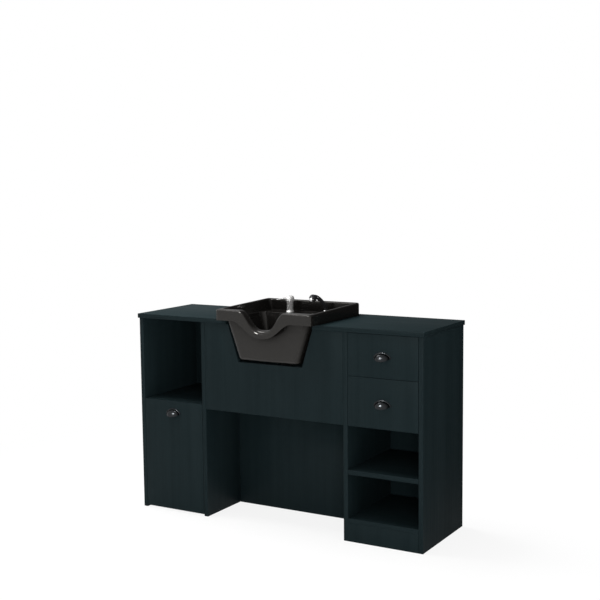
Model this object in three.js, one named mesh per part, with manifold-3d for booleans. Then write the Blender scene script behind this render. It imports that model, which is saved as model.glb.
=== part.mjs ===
// Shampoo station: a two-tower cabinet with a dipped bowl, a mixer tap and a hand sprayer
// Millimetres, +Z up, front towards -Y, origin on the floor under the middle of the whole unit

import * as THREE from 'three';
import { mergeVertices } from 'three/addons/utils/BufferGeometryUtils.js';
import Module from 'manifold-3d';

const wasm = await Module();
wasm.setup();

// Cabinet
const CABINET_WIDTH = 1410;
const CABINET_DEPTH = 416;
const COUNTER_HEIGHT = 900;
const COUNTER_THICKNESS = 20;
const COUNTER_OVERHANG = 6;
const TOWER_WIDTH = 360;
const BOARD = 20;
const BACK_BOARD = 9;
const RAIL_LEVEL = 491;
const BAY_FLOOR_LEVEL = 99;
const SHELF_LEVEL = 305.5;
const KNEE_SETBACK = 264;
const KNEE_PANEL_MARGIN = 30;
const JOINT_GAP = 0.3;

// Door and drawer fronts
const FRONT_GAP = 1.5;
const DRAWER_SEAM_LEVEL = 700;
const DOOR_FLOOR_GAP = 8;
const DOOR_TOP_REVEAL = 1;

// Drawers
const DRAWER_BOARD = 12;
const DRAWER_BOTTOM = 6;
const DRAWER_BACK_CLEARANCE = 36;
const DRAWER_TOP_CLEARANCE = 34;
const DRAWER_BASE_CLEARANCE = 10;
const RUNNER_WIDTH = 12.7;
const RUNNER_HEIGHT = 44;
const RUNNER_SHEET = 1.5;
const RUNNER_LIP = 7;
const RUNNER_FRONT_CLEARANCE = 3;

// Tilt-out door and towel bin
const PIVOT_LEVEL = 22;
const PIVOT_RADIUS = 3;
const PIVOT_IN_SIDE = 9;
const PIVOT_IN_DOOR = 13;
const BIN_BOARD = 12;
const BIN_SIDE_CLEARANCE = 7;
const BIN_FLOOR_LEVEL = 62;
const BIN_REAR_CLEARANCE = 130;
const BIN_STOP_LIP = 15;
const STOP_RAIL_HEIGHT = 27;
const STOP_RAIL_THICKNESS = 20;
const SWING_CLEARANCE = 4;
const TOWER_FLOOR_LEVEL = 32;

// Cup pulls
const PULL_WIDTH = 78;
const PULL_HEIGHT = 36;
const PULL_DEPTH = 25;
const PULL_SHEET = 2.2;
const PULL_FLANGE = 3.5;
const DOOR_PULL_DROP = 52;

// Bowl
const BOWL_OFFSET = -12;
const BOWL_WIDTH = 482;
const BOWL_LENGTH = 434;
const BOWL_OVERHANG = 51;
const BOWL_CORNER = 16;
const BOWL_WALL = 4;
const RIM_HEIGHT = 47;
const RIM_RISE = 8;
const RIM_SIDE = 18;
const RIM_FRONT = 37;
const EDGE_ROLL = 5;
const NECK_ROLL = 23;
const NECK_INNER_ROLL = 12;
const DIP_OFFSET = -7;
const DIP_DEPTH = 80;
const DIP_HALF_WIDTH = 112;
const DIP_FULLNESS = 1.4;
const SKIRT_DIP_DEPTH = 68;
const SKIRT_DIP_HALF_WIDTH = 145;
const SKIRT_DIP_FULLNESS = 1.28;
const BELLY_DEPTH = 175;
const BELLY_TOP_HALF = 211;
const BELLY_BOTTOM_HALF = 152;
const BELLY_CORNER = 30;
const BELLY_FRONT_DRAFT = 5;
const BELLY_REAR_DRAFT = 26;
const BELLY_FILLET = 19;
const LEDGE_LENGTH = 90;
const LEDGE_DROP = 43;
const LEDGE_SHOULDER = 3;
const CUTOUT_SHIFT = 3;
const CUTOUT_CLEARANCE = 7;
const CUTOUT_SILL_CLEARANCE = 9;
const NOTCH_CLEARANCE = 5;

// Waste
const DRAIN_SHARE = 0.54;
const DRAIN_HOLE_CLEARANCE = 0.9;
const PIPE_RADIUS = 19;
const PIPE_WALL = 1.8;
const PIPE_CLEARANCE = 0.5;
const PIPE_OVERLAP = 22;
const DRAIN_TUBE_WALL = 2.2;
const DRAIN_THREAD = 42;
const DRAIN_LIP = 13;
const DRAIN_LIP_THICKNESS = 4;
const STRAINER_RECESS = 2;
const STRAINER_SEAT = 6;
const STRAINER_EDGE = 1;
const STRAINER_HOLES = 8;
const STRAINER_HOLE = 2.2;
const STRAINER_HOLE_SHARE = 0.55;
const STRAINER_KNOB = 4;
const NUT_WIDTH = 11;
const NUT_HEIGHT = 10;
const TAILPIECE_DROP = 130;
const TRAP_BEND_RADIUS = 40;
const TRAP_SOCKET = 30;
const TRAP_NUT_WIDTH = 4;
const TRAP_NUT_HEIGHT = 16;
const ARM_RISE = 5;
const ARM_BEND_RADIUS = 36;
const ARM_HOLE_CLEARANCE = 8;

// Tap
const TAP_SPREAD = 85;
const TAP_SETBACK = 43;
const TAP_BODY_RADIUS = 14.5;
const TAP_FLANGE_RADIUS = 18.5;
const TAP_FLANGE_HEIGHT = 5;
const TAP_FLANGE_ROUND = 2;
const TAP_BALL_RADIUS = 16.5;
const TAP_BALL_LEVEL = 52;
const TAP_BALL_TOP = 8;
const TAP_SHANK_RADIUS = 8;
const TAP_SHANK_LENGTH = 46;
const TAP_HOLE_CLEARANCE = 2;
const HOOD_CLEARANCE = 0.5;
const HOOD_WALL = 2.6;
const HOOD_SKIRT = 2;
const HOOD_CROWN = [[1, 0.5], [0.9, 0.85], [0.62, 1.05], [0, 1.1]];
const LEVER_LENGTH = 62;
const LEVER_LEVEL = 13;
const LEVER_WIDTH = 13;
const LEVER_TIP_WIDTH = 10;
const LEVER_THICKNESS = 5;
const LEVER_TIP_THICKNESS = 3;
const LEVER_END_SHARE = 0.6;
const LEVER_SQUARENESS = 0.7;
const LEVER_DROOP = 8;
const LEVER_TURN = 0.64;

// Sprayer
const SPRAYER_SPREAD = 95;
const SPRAYER_SETBACK = 31;
const GUIDE_WALL = 1.6;
const GUIDE_CLEARANCE = 0.4;
const GUIDE_FLANGE = 16;
const GUIDE_FLANGE_HEIGHT = 3;
const GUIDE_COLLAR = 1.5;
const GUIDE_HEIGHT = 14;
const GUIDE_SHANK = 30;
const HANDLE_RADIUS = 9.5;
const HANDLE_DEPTH = 44;
const HANDLE_START = 16;
const HANDLE_UPRIGHT = 18;
const SPRAY_REACH = 66;
const SPRAY_LEVEL = 78;
const SPRAY_CROWN = 6;
const SPRAY_TURN = 1.07;
const HEAD_RADIUS = 17.5;
const HEAD_BACK = 17;
const HEAD_DEPTH = 22;
const HEAD_NECK = 11;
const HEAD_EDGE = 1;
const HEAD_WALL = 2.4;
const HEAD_TILT = 1.2;
const NOZZLE_RECESS = 2;
const NOZZLE_RADIUS = 12;
const NOZZLE_LENGTH = 13;
const NOZZLE_RIB = 1.5;

// Facets
const ROUND_SIDES = 24;
const PIPE_SIDES = 20;
const BEND_STEPS = 16;
const FRONT_STEPS = 18;
const CORNER_STEPS = 4;
const SIDE_STEPS = 4;
const REAR_STEPS = 6;

// Places that follow from the sizes above
const BAY_WIDTH = CABINET_WIDTH - 2 * TOWER_WIDTH;
const CARCASS_HEIGHT = COUNTER_HEIGHT - COUNTER_THICKNESS;
const TOWER_CENTRE = (CABINET_WIDTH - TOWER_WIDTH) / 2;
const TOWER_CLEAR = TOWER_WIDTH - 2 * BOARD;
const BACK_FACE = CABINET_DEPTH - BACK_BOARD;
const INSET = BOARD + FRONT_GAP;
const DECK_LEVEL = RAIL_LEVEL + BOARD;
const MIDDLE_Y = (CABINET_DEPTH - BOWL_OVERHANG) / 2;
const BOWL_FRONT = -BOWL_OVERHANG;
const BOWL_BACK = BOWL_LENGTH - BOWL_OVERHANG;
const BASIN_FRONT = BOWL_FRONT + RIM_FRONT;
const BASIN_FLOOR = BOWL_WALL - BELLY_DEPTH;
const LEDGE_LEVEL = RIM_HEIGHT - LEDGE_DROP;
const LEDGE_BACK = BOWL_BACK - RIM_SIDE;
const LEDGE_FRONT = LEDGE_BACK - LEDGE_LENGTH - BOWL_WALL;
const DRAIN_Y = BASIN_FRONT + DRAIN_SHARE * (LEDGE_FRONT - BASIN_FRONT);
const DRAIN_BORE = PIPE_RADIUS + PIPE_CLEARANCE;
const DRAIN_HOLE = DRAIN_BORE + DRAIN_TUBE_WALL + DRAIN_HOLE_CLEARANCE;
const DRAIN_FLANGE = DRAIN_HOLE + DRAIN_LIP;
const TRAP_TOP = COUNTER_HEIGHT - BELLY_DEPTH - TAILPIECE_DROP;
const ARM_X = BOWL_OFFSET + 2 * TRAP_BEND_RADIUS;
const ARM_LEVEL = TRAP_TOP + ARM_RISE + ARM_BEND_RADIUS;
const TAP_Y = LEDGE_BACK - TAP_SETBACK;
const SPRAYER_Y = LEDGE_BACK - SPRAYER_SETBACK;
const GUIDE_BORE = HANDLE_RADIUS + GUIDE_CLEARANCE;

// Finishes
const finish = (color, roughness, metalness) => () => (
  new THREE.MeshStandardMaterial({ color, roughness, metalness })
);
const laminate = finish(0x1d2628, 0.5, 0);
const drawerBoard = finish(0x2a3033, 0.6, 0);
const bowlPlastic = finish(0x0d0d0e, 0.18, 0);
const gunmetal = finish(0x55585b, 0.3, 0.9);
const chrome = finish(0xd9dcdf, 0.12, 1);
const steel = finish(0x9a9da0, 0.4, 1);
const wastePlastic = finish(0xb9bcbc, 0.5, 0);
const handlePlastic = finish(0x17181a, 0.25, 0);

// Adds one named piece to a group
function piece(parent, name, material, geometry) {
  const mesh = new THREE.Mesh(geometry, material());
  mesh.name = name;
  parent.add(mesh);
  return mesh;
}

// A closed geometry as a solid that can be joined and cut
function solid(geometry) {
  const bare = geometry.index ? geometry.clone() : geometry;
  bare.deleteAttribute('normal');
  bare.deleteAttribute('uv');
  const merged = mergeVertices(bare, 1e-4);
  return new wasm.Manifold(new wasm.Mesh({
    numProp: 3,
    vertProperties: new Float32Array(merged.attributes.position.array),
    triVerts: new Uint32Array(merged.index.array),
  }));
}

function geometryOf(shape) {
  const mesh = shape.getMesh();
  const geometry = new THREE.BufferGeometry();
  geometry.setAttribute('position', new THREE.BufferAttribute(mesh.vertProperties, 3));
  geometry.setIndex(new THREE.BufferAttribute(mesh.triVerts, 1));
  geometry.computeVertexNormals();
  return geometry;
}

const cut = (geometry, ...tools) => geometryOf(
  tools.reduce((body, tool) => body.subtract(solid(tool)), solid(geometry)),
);

const join = (...geometries) => geometryOf(
  geometries.map(solid).reduce((body, next) => body.add(next)),
);

const keep = (geometry, limit) => geometryOf(solid(geometry).intersect(solid(limit)));

// A block between two corners, given as [low, high] along each axis
function block([x0, x1], [y0, y1], [z0, z1]) {
  const box = new THREE.BoxGeometry(x1 - x0, y1 - y0, z1 - z0);
  return box.translate((x0 + x1) / 2, (y0 + y1) / 2, (z0 + z1) / 2);
}

// A cylinder along an axis, from start for a length
function rod(radius, length, [x, y, z], axis, sides = 24) {
  const cylinder = new THREE.CylinderGeometry(radius, radius, length, sides);
  cylinder.translate(0, length / 2, 0);
  const turn = new THREE.Quaternion().setFromUnitVectors(
    new THREE.Vector3(0, 1, 0),
    new THREE.Vector3(...axis),
  );
  return cylinder.applyQuaternion(turn).translate(x, y, z);
}

// A profile of [radius, height] points turned about +Z
function turned(profile, sides = ROUND_SIDES) {
  const points = profile.map(([r, z]) => new THREE.Vector2(r, z));
  return new THREE.LatheGeometry(points, sides).rotateX(Math.PI / 2);
}

// An outline of points in one plane, given a thickness along the third axis
function plate(points, thickness, plane) {
  const shape = new THREE.Shape(points.map(([a, b]) => new THREE.Vector2(a, b)));
  const geometry = new THREE.ExtrudeGeometry(shape, { depth: thickness, bevelEnabled: false });
  const axes = {
    xy: [[1, 0, 0], [0, 1, 0], [0, 0, 1]],
    xz: [[1, 0, 0], [0, 0, 1], [0, -1, 0]],
    yz: [[0, 1, 0], [0, 0, 1], [1, 0, 0]],
  }[plane].map((axis) => new THREE.Vector3(...axis));
  return geometry.applyMatrix4(new THREE.Matrix4().makeBasis(...axes));
}

// Closed skin over rings of points; the last ring meets the first when the skin is a loop
function skin(rings, looped) {
  const count = rings[0].length;
  const positions = rings.flat(2);
  const triangles = [];
  const spans = looped ? rings.length : rings.length - 1;
  for (let r = 0; r < spans; r += 1) {
    const low = r * count;
    const high = ((r + 1) % rings.length) * count;
    for (let i = 0; i < count; i += 1) {
      const j = (i + 1) % count;
      triangles.push(low + i, low + j, high + j, low + i, high + j, high + i);
    }
  }
  if (!looped) {
    const last = (rings.length - 1) * count;
    for (let i = 1; i < count - 1; i += 1) {
      triangles.push(0, i + 1, i);
      triangles.push(last, last + i, last + i + 1);
    }
  }
  const geometry = new THREE.BufferGeometry();
  geometry.setAttribute('position', new THREE.Float32BufferAttribute(positions, 3));
  geometry.setIndex(triangles);
  geometry.computeVertexNormals();
  return geometry;
}

// A circular bend that starts at a point and turns about an axis through its centre
class Bend extends THREE.Curve {
  constructor(start, centre, axis, turn) {
    super();
    Object.assign(this, { start, centre, axis, turn });
  }

  getPoint(t) {
    const arm = this.start.clone().sub(this.centre);
    return arm.applyAxisAngle(this.axis, t * this.turn).add(this.centre);
  }
}

// A path of straights and bends in one plane; its bends turn about the axis
function pathOf(start, heading, axis, moves) {
  const about = new THREE.Vector3(...axis);
  const at = new THREE.Vector3(...start);
  const along = new THREE.Vector3(...heading);
  const path = new THREE.CurvePath();
  for (const { straight, radius, turn } of moves) {
    if (straight) {
      const end = at.clone().addScaledVector(along, straight);
      path.add(new THREE.LineCurve3(at.clone(), end));
      at.copy(end);
    } else {
      const beside = about.clone().cross(along).multiplyScalar(Math.sign(turn) * radius);
      const bend = new Bend(at.clone(), at.clone().add(beside), about, turn);
      path.add(bend);
      at.copy(bend.getPoint(1));
      along.applyAxisAngle(about, turn);
    }
  }
  return path;
}

// A round tube along a path, solid where it has no bore
function tube(path, radius, bore, steps) {
  const section = new THREE.Shape().absarc(0, 0, radius, 0, 2 * Math.PI);
  if (bore) {
    section.holes.push(new THREE.Path().absarc(0, 0, bore, 0, 2 * Math.PI, true));
  }
  return new THREE.ExtrudeGeometry(section, { steps, extrudePath: path, curveSegments: PIPE_SIDES / 2 });
}

// Points of an arc about [0, height], from one angle over the level to another
function arcPoints(radius, height, from, to, steps) {
  return Array.from({ length: steps + 1 }, (_, i) => {
    const angle = from + ((to - from) * i) / steps;
    return [radius * Math.cos(angle), height + radius * Math.sin(angle)];
  });
}

const mix = (a, b, t) => a + (b - a) * t;
const smooth = (t) => t * t * (3 - 2 * t);

// Counter board, with the notch that the bowl hangs in
function counter() {
  const side = CABINET_WIDTH / 2 + COUNTER_OVERHANG;
  const notch = BELLY_TOP_HALF + NOTCH_CLEARANCE;
  const left = BOWL_OFFSET - notch;
  const right = BOWL_OFFSET + notch;
  const rear = LEDGE_BACK + NOTCH_CLEARANCE;
  const outline = [
    [-side, -COUNTER_OVERHANG], [left, -COUNTER_OVERHANG], [left, rear], [right, rear],
    [right, -COUNTER_OVERHANG], [side, -COUNTER_OVERHANG], [side, CABINET_DEPTH], [-side, CABINET_DEPTH],
  ];
  const board = plate(outline, COUNTER_THICKNESS - JOINT_GAP, 'xy');
  return board.translate(0, 0, CARCASS_HEIGHT + JOINT_GAP);
}

// Half the width of the bowl's belly at a height over the counter's top
function bellyHalf(z) {
  return mix(BELLY_TOP_HALF, BELLY_BOTTOM_HALF, -z / BELLY_DEPTH);
}

// Apron between the towers, with the cut-out that shows the belly
function apron() {
  const half = BAY_WIDTH / 2 - JOINT_GAP;
  const cutTop = bellyHalf(-COUNTER_THICKNESS) + CUTOUT_CLEARANCE;
  const cutBottom = bellyHalf(-BELLY_DEPTH) + CUTOUT_CLEARANCE;
  const sill = COUNTER_HEIGHT - BELLY_DEPTH - CUTOUT_SILL_CLEARANCE;
  const middle = BOWL_OFFSET + CUTOUT_SHIFT;
  const outline = [
    [-half, RAIL_LEVEL], [half, RAIL_LEVEL], [half, CARCASS_HEIGHT],
    [middle + cutTop, CARCASS_HEIGHT], [middle + cutBottom, sill],
    [middle - cutBottom, sill], [middle - cutTop, CARCASS_HEIGHT], [-half, CARCASS_HEIGHT],
  ];
  return plate(outline, BOARD, 'xz').translate(0, BOARD, 0);
}

// Knee panel, with the hole for the waste arm
function kneePanel() {
  const half = BAY_WIDTH / 2 - JOINT_GAP;
  const top = COUNTER_HEIGHT - BELLY_DEPTH - KNEE_PANEL_MARGIN;
  const panel = block([-half, half], [KNEE_SETBACK, KNEE_SETBACK + BOARD], [0, top]);
  const hole = rod(
    PIPE_RADIUS + ARM_HOLE_CLEARANCE, 3 * BOARD, [ARM_X, KNEE_SETBACK - BOARD, ARM_LEVEL], [0, 1, 0],
  );
  return cut(panel, hole);
}

// Boards of one tower that both towers share: two sides and a back
function towerShell(parent, side, centre) {
  const outward = side === 'left' ? -1 : 1;
  const outer = centre + outward * (TOWER_WIDTH - BOARD) / 2;
  const inner = centre - outward * (TOWER_WIDTH - BOARD) / 2;
  const sideBoard = (x) => block([x - BOARD / 2, x + BOARD / 2], [0, CABINET_DEPTH], [0, CARCASS_HEIGHT]);
  const half = TOWER_CLEAR / 2 - JOINT_GAP;
  const pivots = side === 'left' ? pivotBores(centre) : [];
  for (const [name, x] of [['outer_side', outer], ['inner_side', inner]]) {
    const board = sideBoard(x);
    piece(parent, `${side}_${name}`, laminate, pivots.length ? cut(board, ...pivots) : board);
  }
  const back = block([centre - half, centre + half], [BACK_FACE, CABINET_DEPTH], [0, CARCASS_HEIGHT]);
  piece(parent, `${side}_back`, laminate, back);
}

// A level board inside a tower, under a given top level
function levelBoard(centre, top, thickness, front) {
  const half = TOWER_CLEAR / 2 - JOINT_GAP;
  return block([centre - half, centre + half], [front, BACK_FACE - JOINT_GAP], [top - thickness, top]);
}

// Bores for the two door pivots, in the tower's sides and the door's edges
function pivotBores(centre) {
  const reach = PIVOT_IN_SIDE + FRONT_GAP + PIVOT_IN_DOOR + JOINT_GAP;
  const radius = PIVOT_RADIUS + JOINT_GAP;
  const edge = TOWER_CLEAR / 2 + PIVOT_IN_SIDE + JOINT_GAP;
  return [
    rod(radius, reach + JOINT_GAP, [centre - edge, BOARD / 2, PIVOT_LEVEL], [1, 0, 0], 16),
    rod(radius, reach + JOINT_GAP, [centre + edge, BOARD / 2, PIVOT_LEVEL], [-1, 0, 0], 16),
  ];
}

// A cup pull: a quarter shell over an open finger gap, with a flat flange round its edge
function cupPull(x, z) {
  const sides = 24;
  const outer = new THREE.SphereGeometry(1, sides, sides / 2);
  const half = PULL_WIDTH / 2 - PULL_FLANGE;
  const rise = PULL_HEIGHT - PULL_FLANGE;
  const dome = outer.clone().scale(half, PULL_DEPTH, rise);
  const hollow = outer.clone().scale(half - PULL_SHEET, PULL_DEPTH - PULL_SHEET, rise - PULL_SHEET);
  const flange = new THREE.CylinderGeometry(1, 1, PULL_SHEET, 2 * sides);
  flange.scale(PULL_WIDTH / 2, 1, PULL_HEIGHT).translate(0, -PULL_SHEET / 2, 0);
  const upper = block([-PULL_WIDTH, PULL_WIDTH], [-2 * PULL_DEPTH, 0], [0, 2 * PULL_HEIGHT]);
  const shell = keep(join(dome, flange), upper);
  return cut(shell, hollow).translate(x, -JOINT_GAP, z - PULL_HEIGHT / 2);
}

// Tilt-out door with its pull and the towel bin on its back
function tiltDoor(parent, centre) {
  const half = TOWER_CLEAR / 2 - FRONT_GAP;
  const top = DECK_LEVEL - DOOR_TOP_REVEAL;
  const board = block([centre - half, centre + half], [0, BOARD], [DOOR_FLOOR_GAP, top]);
  piece(parent, 'tilt_door', laminate, cut(board, ...pivotBores(centre)));
  piece(parent, 'door_pull', gunmetal, cupPull(centre, DECK_LEVEL - DOOR_PULL_DROP));

  const front = BOARD + JOINT_GAP;
  const rear = BACK_FACE - BIN_REAR_CLEARANCE;
  const swing = RAIL_LEVEL - STOP_RAIL_HEIGHT - SWING_CLEARANCE - PIVOT_LEVEL;
  const binHalf = TOWER_CLEAR / 2 - BIN_SIDE_CLEARANCE;
  const side = sectorOutline(front, rear, swing);
  for (const [name, x] of [['bin_left_side', -binHalf], ['bin_right_side', binHalf - BIN_BOARD]]) {
    piece(parent, name, laminate, plate(side, BIN_BOARD, 'yz').translate(centre + x, 0, 0));
  }
  const inside = binHalf - BIN_BOARD - JOINT_GAP;
  const across = [centre - inside, centre + inside];
  const floorTop = BIN_FLOOR_LEVEL + BIN_BOARD;
  const floorRear = rear - BIN_BOARD - JOINT_GAP;
  piece(parent, 'bin_floor', laminate, block(across, [front, floorRear], [BIN_FLOOR_LEVEL, floorTop]));
  const lipTop = arcHeight(rear, swing + BIN_STOP_LIP);
  const back = block(across, [rear - BIN_BOARD, rear], [BIN_FLOOR_LEVEL, lipTop]);
  piece(parent, 'bin_back', laminate, back);
}

// Height of an arc about the door pivot, at a distance back from the front
function arcHeight(y, radius) {
  return PIVOT_LEVEL + Math.sqrt(radius ** 2 - (y - BOARD / 2) ** 2);
}

// Side view of the bin's side: square at the front and floor, with a rounded top that clears the rail
function sectorOutline(front, rear, radius) {
  const steps = 14;
  const outline = [[front, BIN_FLOOR_LEVEL], [rear, BIN_FLOOR_LEVEL]];
  for (let i = 0; i <= steps; i += 1) {
    const y = mix(rear, front, i / steps);
    outline.push([y, arcHeight(y, radius)]);
  }
  return outline;
}

// Left tower: open niche above, tilt-out door below
function leftTower(parent, door) {
  const centre = -TOWER_CENTRE;
  towerShell(parent, 'left', centre);
  piece(parent, 'niche_floor', laminate, levelBoard(centre, DECK_LEVEL, BOARD, INSET));
  const heel = Math.hypot(BOARD / 2, PIVOT_LEVEL - DOOR_FLOOR_GAP);
  const floorFront = BOARD / 2 + heel + SWING_CLEARANCE;
  piece(parent, 'left_floor', laminate, levelBoard(centre, TOWER_FLOOR_LEVEL, BOARD, floorFront));
  const railHalf = TOWER_CLEAR / 2 - JOINT_GAP;
  const railTop = RAIL_LEVEL - JOINT_GAP;
  const rail = block(
    [centre - railHalf, centre + railHalf],
    [INSET, INSET + STOP_RAIL_THICKNESS],
    [railTop - STOP_RAIL_HEIGHT, railTop],
  );
  piece(parent, 'tilt_stop_rail', laminate, rail);
  const length = PIVOT_IN_SIDE + FRONT_GAP + PIVOT_IN_DOOR;
  const start = TOWER_CLEAR / 2 + PIVOT_IN_SIDE;
  for (const [name, way] of [['door_pivot_left', 1], ['door_pivot_right', -1]]) {
    const from = [centre - way * start, BOARD / 2, PIVOT_LEVEL];
    piece(parent, name, steel, rod(PIVOT_RADIUS, length, from, [way, 0, 0], 16));
  }
  tiltDoor(door, centre);
}

// Runner cross-sections in the XZ plane, for a runner on the left of its drawer
function cabinetRunnerOutline() {
  const high = RUNNER_HEIGHT / 2;
  const inner = high - RUNNER_SHEET;
  return [
    [0, -high], [RUNNER_LIP, -high], [RUNNER_LIP, -inner], [RUNNER_SHEET, -inner],
    [RUNNER_SHEET, inner], [RUNNER_LIP, inner], [RUNNER_LIP, high], [0, high],
  ];
}

function drawerRunnerOutline() {
  const high = RUNNER_HEIGHT / 2 - RUNNER_SHEET - JOINT_GAP;
  const inner = high - RUNNER_SHEET;
  const wide = RUNNER_WIDTH - 2 * JOINT_GAP;
  const narrow = RUNNER_SHEET + JOINT_GAP;
  return [
    [wide, -high], [wide, high], [narrow, high], [narrow, inner],
    [wide - RUNNER_SHEET, inner], [wide - RUNNER_SHEET, -inner], [narrow, -inner], [narrow, -high],
  ];
}

// One drawer on its runners; the front covers the given span of height
function drawer(cabinet, body, name, centre, [frontLow, frontHigh], boxLow) {
  const half = TOWER_CLEAR / 2 - FRONT_GAP;
  const face = block([centre - half, centre + half], [0, BOARD], [frontLow, frontHigh]);
  piece(body, `${name}_front`, laminate, face);
  piece(body, `${name}_pull`, gunmetal, cupPull(centre, (frontLow + frontHigh) / 2));

  const front = BOARD + JOINT_GAP;
  const rear = BACK_FACE - DRAWER_BACK_CLEARANCE;
  const high = frontHigh - DRAWER_TOP_CLEARANCE;
  const boxHalf = TOWER_CLEAR / 2 - RUNNER_WIDTH;
  const side = (x) => block([x, x + DRAWER_BOARD], [front, rear], [boxLow, high]);
  piece(body, `${name}_left_side`, drawerBoard, side(centre - boxHalf));
  piece(body, `${name}_right_side`, drawerBoard, side(centre + boxHalf - DRAWER_BOARD));
  const inside = boxHalf - DRAWER_BOARD - JOINT_GAP;
  const across = [centre - inside, centre + inside];
  const bottomTop = boxLow + DRAWER_BOTTOM;
  piece(body, `${name}_bottom`, drawerBoard, block(across, [front, rear], [boxLow, bottomTop]));
  const back = block(across, [rear - DRAWER_BOARD, rear], [bottomTop + JOINT_GAP, high]);
  piece(body, `${name}_back`, drawerBoard, back);

  const level = (boxLow + high) / 2;
  const start = INSET + RUNNER_FRONT_CLEARANCE;
  const length = rear - start;
  for (const [hand, way] of [['left', 1], ['right', -1]]) {
    const mirrored = (outline) => outline.map(([x, z]) => [way * x, z]);
    const wall = centre - way * (TOWER_CLEAR / 2 - JOINT_GAP);
    const place = (outline) => runnerBar(mirrored(outline), length).translate(wall, start, level);
    piece(cabinet, `${name}_${hand}_cabinet_runner`, steel, place(cabinetRunnerOutline()));
    piece(body, `${name}_${hand}_drawer_runner`, steel, place(drawerRunnerOutline()));
  }
}

// A runner's cross-section drawn back along +Y
function runnerBar(outline, length) {
  return plate(outline, length, 'xz').translate(0, length, 0);
}

// Right tower: two drawers above, two open shelf bays below
function rightTower(parent, upper, lower) {
  const centre = TOWER_CENTRE;
  towerShell(parent, 'right', centre);
  piece(parent, 'drawer_deck', laminate, levelBoard(centre, DECK_LEVEL, BOARD, INSET));
  piece(parent, 'bay_shelf', laminate, levelBoard(centre, SHELF_LEVEL, BOARD, 0));
  piece(parent, 'bay_floor', laminate, levelBoard(centre, BAY_FLOOR_LEVEL, BOARD, 0));
  const half = TOWER_CLEAR / 2 - JOINT_GAP;
  const baseTop = BAY_FLOOR_LEVEL - BOARD - JOINT_GAP;
  piece(parent, 'base_front', laminate, block([centre - half, centre + half], [0, BOARD], [0, baseTop]));

  const seamLow = DRAWER_SEAM_LEVEL - FRONT_GAP / 2;
  const seamHigh = DRAWER_SEAM_LEVEL + FRONT_GAP / 2;
  const upperSpan = [seamHigh, CARCASS_HEIGHT - FRONT_GAP];
  const lowerSpan = [RAIL_LEVEL, seamLow];
  drawer(parent, upper, 'upper_drawer', centre, upperSpan, seamHigh + DRAWER_BASE_CLEARANCE);
  drawer(parent, lower, 'lower_drawer', centre, lowerSpan, DECK_LEVEL + DRAWER_BASE_CLEARANCE);
}

// Rounded rectangle walked once round from the middle of its front side, with the same count of points
// whatever its size. Each point knows how much it belongs to the front and to the rear.
function outlineRing({ half, front, back, radius }) {
  const flat = half - radius;
  const ring = [];
  const corner = (x, y, from, frontness, rearness) => {
    for (let i = 0; i < CORNER_STEPS; i += 1) {
      const angle = from + (Math.PI / 2) * (i / CORNER_STEPS);
      ring.push({ x: x + radius * Math.cos(angle), y: y + radius * Math.sin(angle), frontness, rearness });
    }
  };
  const run = (steps, from, to, frontness, rearAt) => {
    for (let i = 0; i < steps; i += 1) {
      const t = i / steps;
      ring.push({ x: mix(from[0], to[0], t), y: mix(from[1], to[1], t), frontness, rearness: rearAt(t) });
    }
  };
  run(FRONT_STEPS, [0, front], [flat, front], 1, () => 0);
  corner(flat, front + radius, -Math.PI / 2, 1, 0);
  run(SIDE_STEPS, [half, front + radius], [half, back - radius], 0, smooth);
  corner(flat, back - radius, 0, 0, 1);
  run(REAR_STEPS, [flat, back], [-flat, back], 0, () => 1);
  corner(-flat, back - radius, Math.PI / 2, 0, 1);
  run(SIDE_STEPS, [-half, back - radius], [-half, front + radius], 0, (t) => smooth(1 - t));
  corner(-flat, front + radius, Math.PI, 1, 0);
  run(FRONT_STEPS, [-flat, front], [0, front], 1, () => 0);
  return ring;
}

// How far the neck dip has come at a point along the front, from 0 at its shoulders to 1 at its middle
function dipShare(point, halfWidth, fullness) {
  const along = Math.abs(point.x - DIP_OFFSET) / halfWidth;
  if (!point.frontness || along >= 1) {
    return 0;
  }
  return (1 + Math.cos(Math.PI * along ** fullness)) / 2;
}

const dip = (point) => dipShare(point, DIP_HALF_WIDTH, DIP_FULLNESS);
const skirtDip = (point) => dipShare(point, SKIRT_DIP_HALF_WIDTH, SKIRT_DIP_FULLNESS);

// The rim's height, which rises from the front to the back and sinks at the neck dip
function crest(point) {
  const rise = (RIM_RISE * (point.y - BOWL_FRONT)) / BOWL_LENGTH;
  return RIM_HEIGHT + rise - DIP_DEPTH * dip(point);
}

const outerRoll = (point) => mix(EDGE_ROLL, NECK_ROLL, dip(point));
const innerRoll = (point) => mix(EDGE_ROLL, NECK_INNER_ROLL, dip(point));

// The rim's outside, less an inset. The bowl's heights are over the counter's top.
function rimRect(inset) {
  return {
    half: BOWL_WIDTH / 2 - inset,
    front: BOWL_FRONT + inset,
    back: BOWL_BACK - inset,
    radius: Math.max(BOWL_CORNER - inset, BOWL_CORNER / 3),
  };
}

// The inner edge of the rim, which is wider at the front than at the sides
function innerRect(grow) {
  return {
    half: BOWL_WIDTH / 2 - RIM_SIDE + grow,
    front: BASIN_FRONT - grow,
    back: LEDGE_BACK + grow,
    radius: BOWL_CORNER + grow,
  };
}

// The belly's outside at a height, less an inset
function bellyRect(z, inset) {
  const down = -z / BELLY_DEPTH;
  return {
    half: bellyHalf(z) - inset,
    front: BASIN_FRONT - BOWL_WALL + BELLY_FRONT_DRAFT * down + inset,
    back: LEDGE_FRONT + BOWL_WALL - BELLY_REAR_DRAFT * down - inset,
    radius: BELLY_CORNER - inset,
  };
}

function ledgeRect(inset) {
  const rect = bellyRect(0, inset - LEDGE_SHOULDER);
  return { ...rect, back: LEDGE_BACK - inset / 2, radius: BOWL_CORNER - inset };
}

function ringOf(rect, place) {
  return outlineRing(rect).map((point) => place(point));
}

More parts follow.
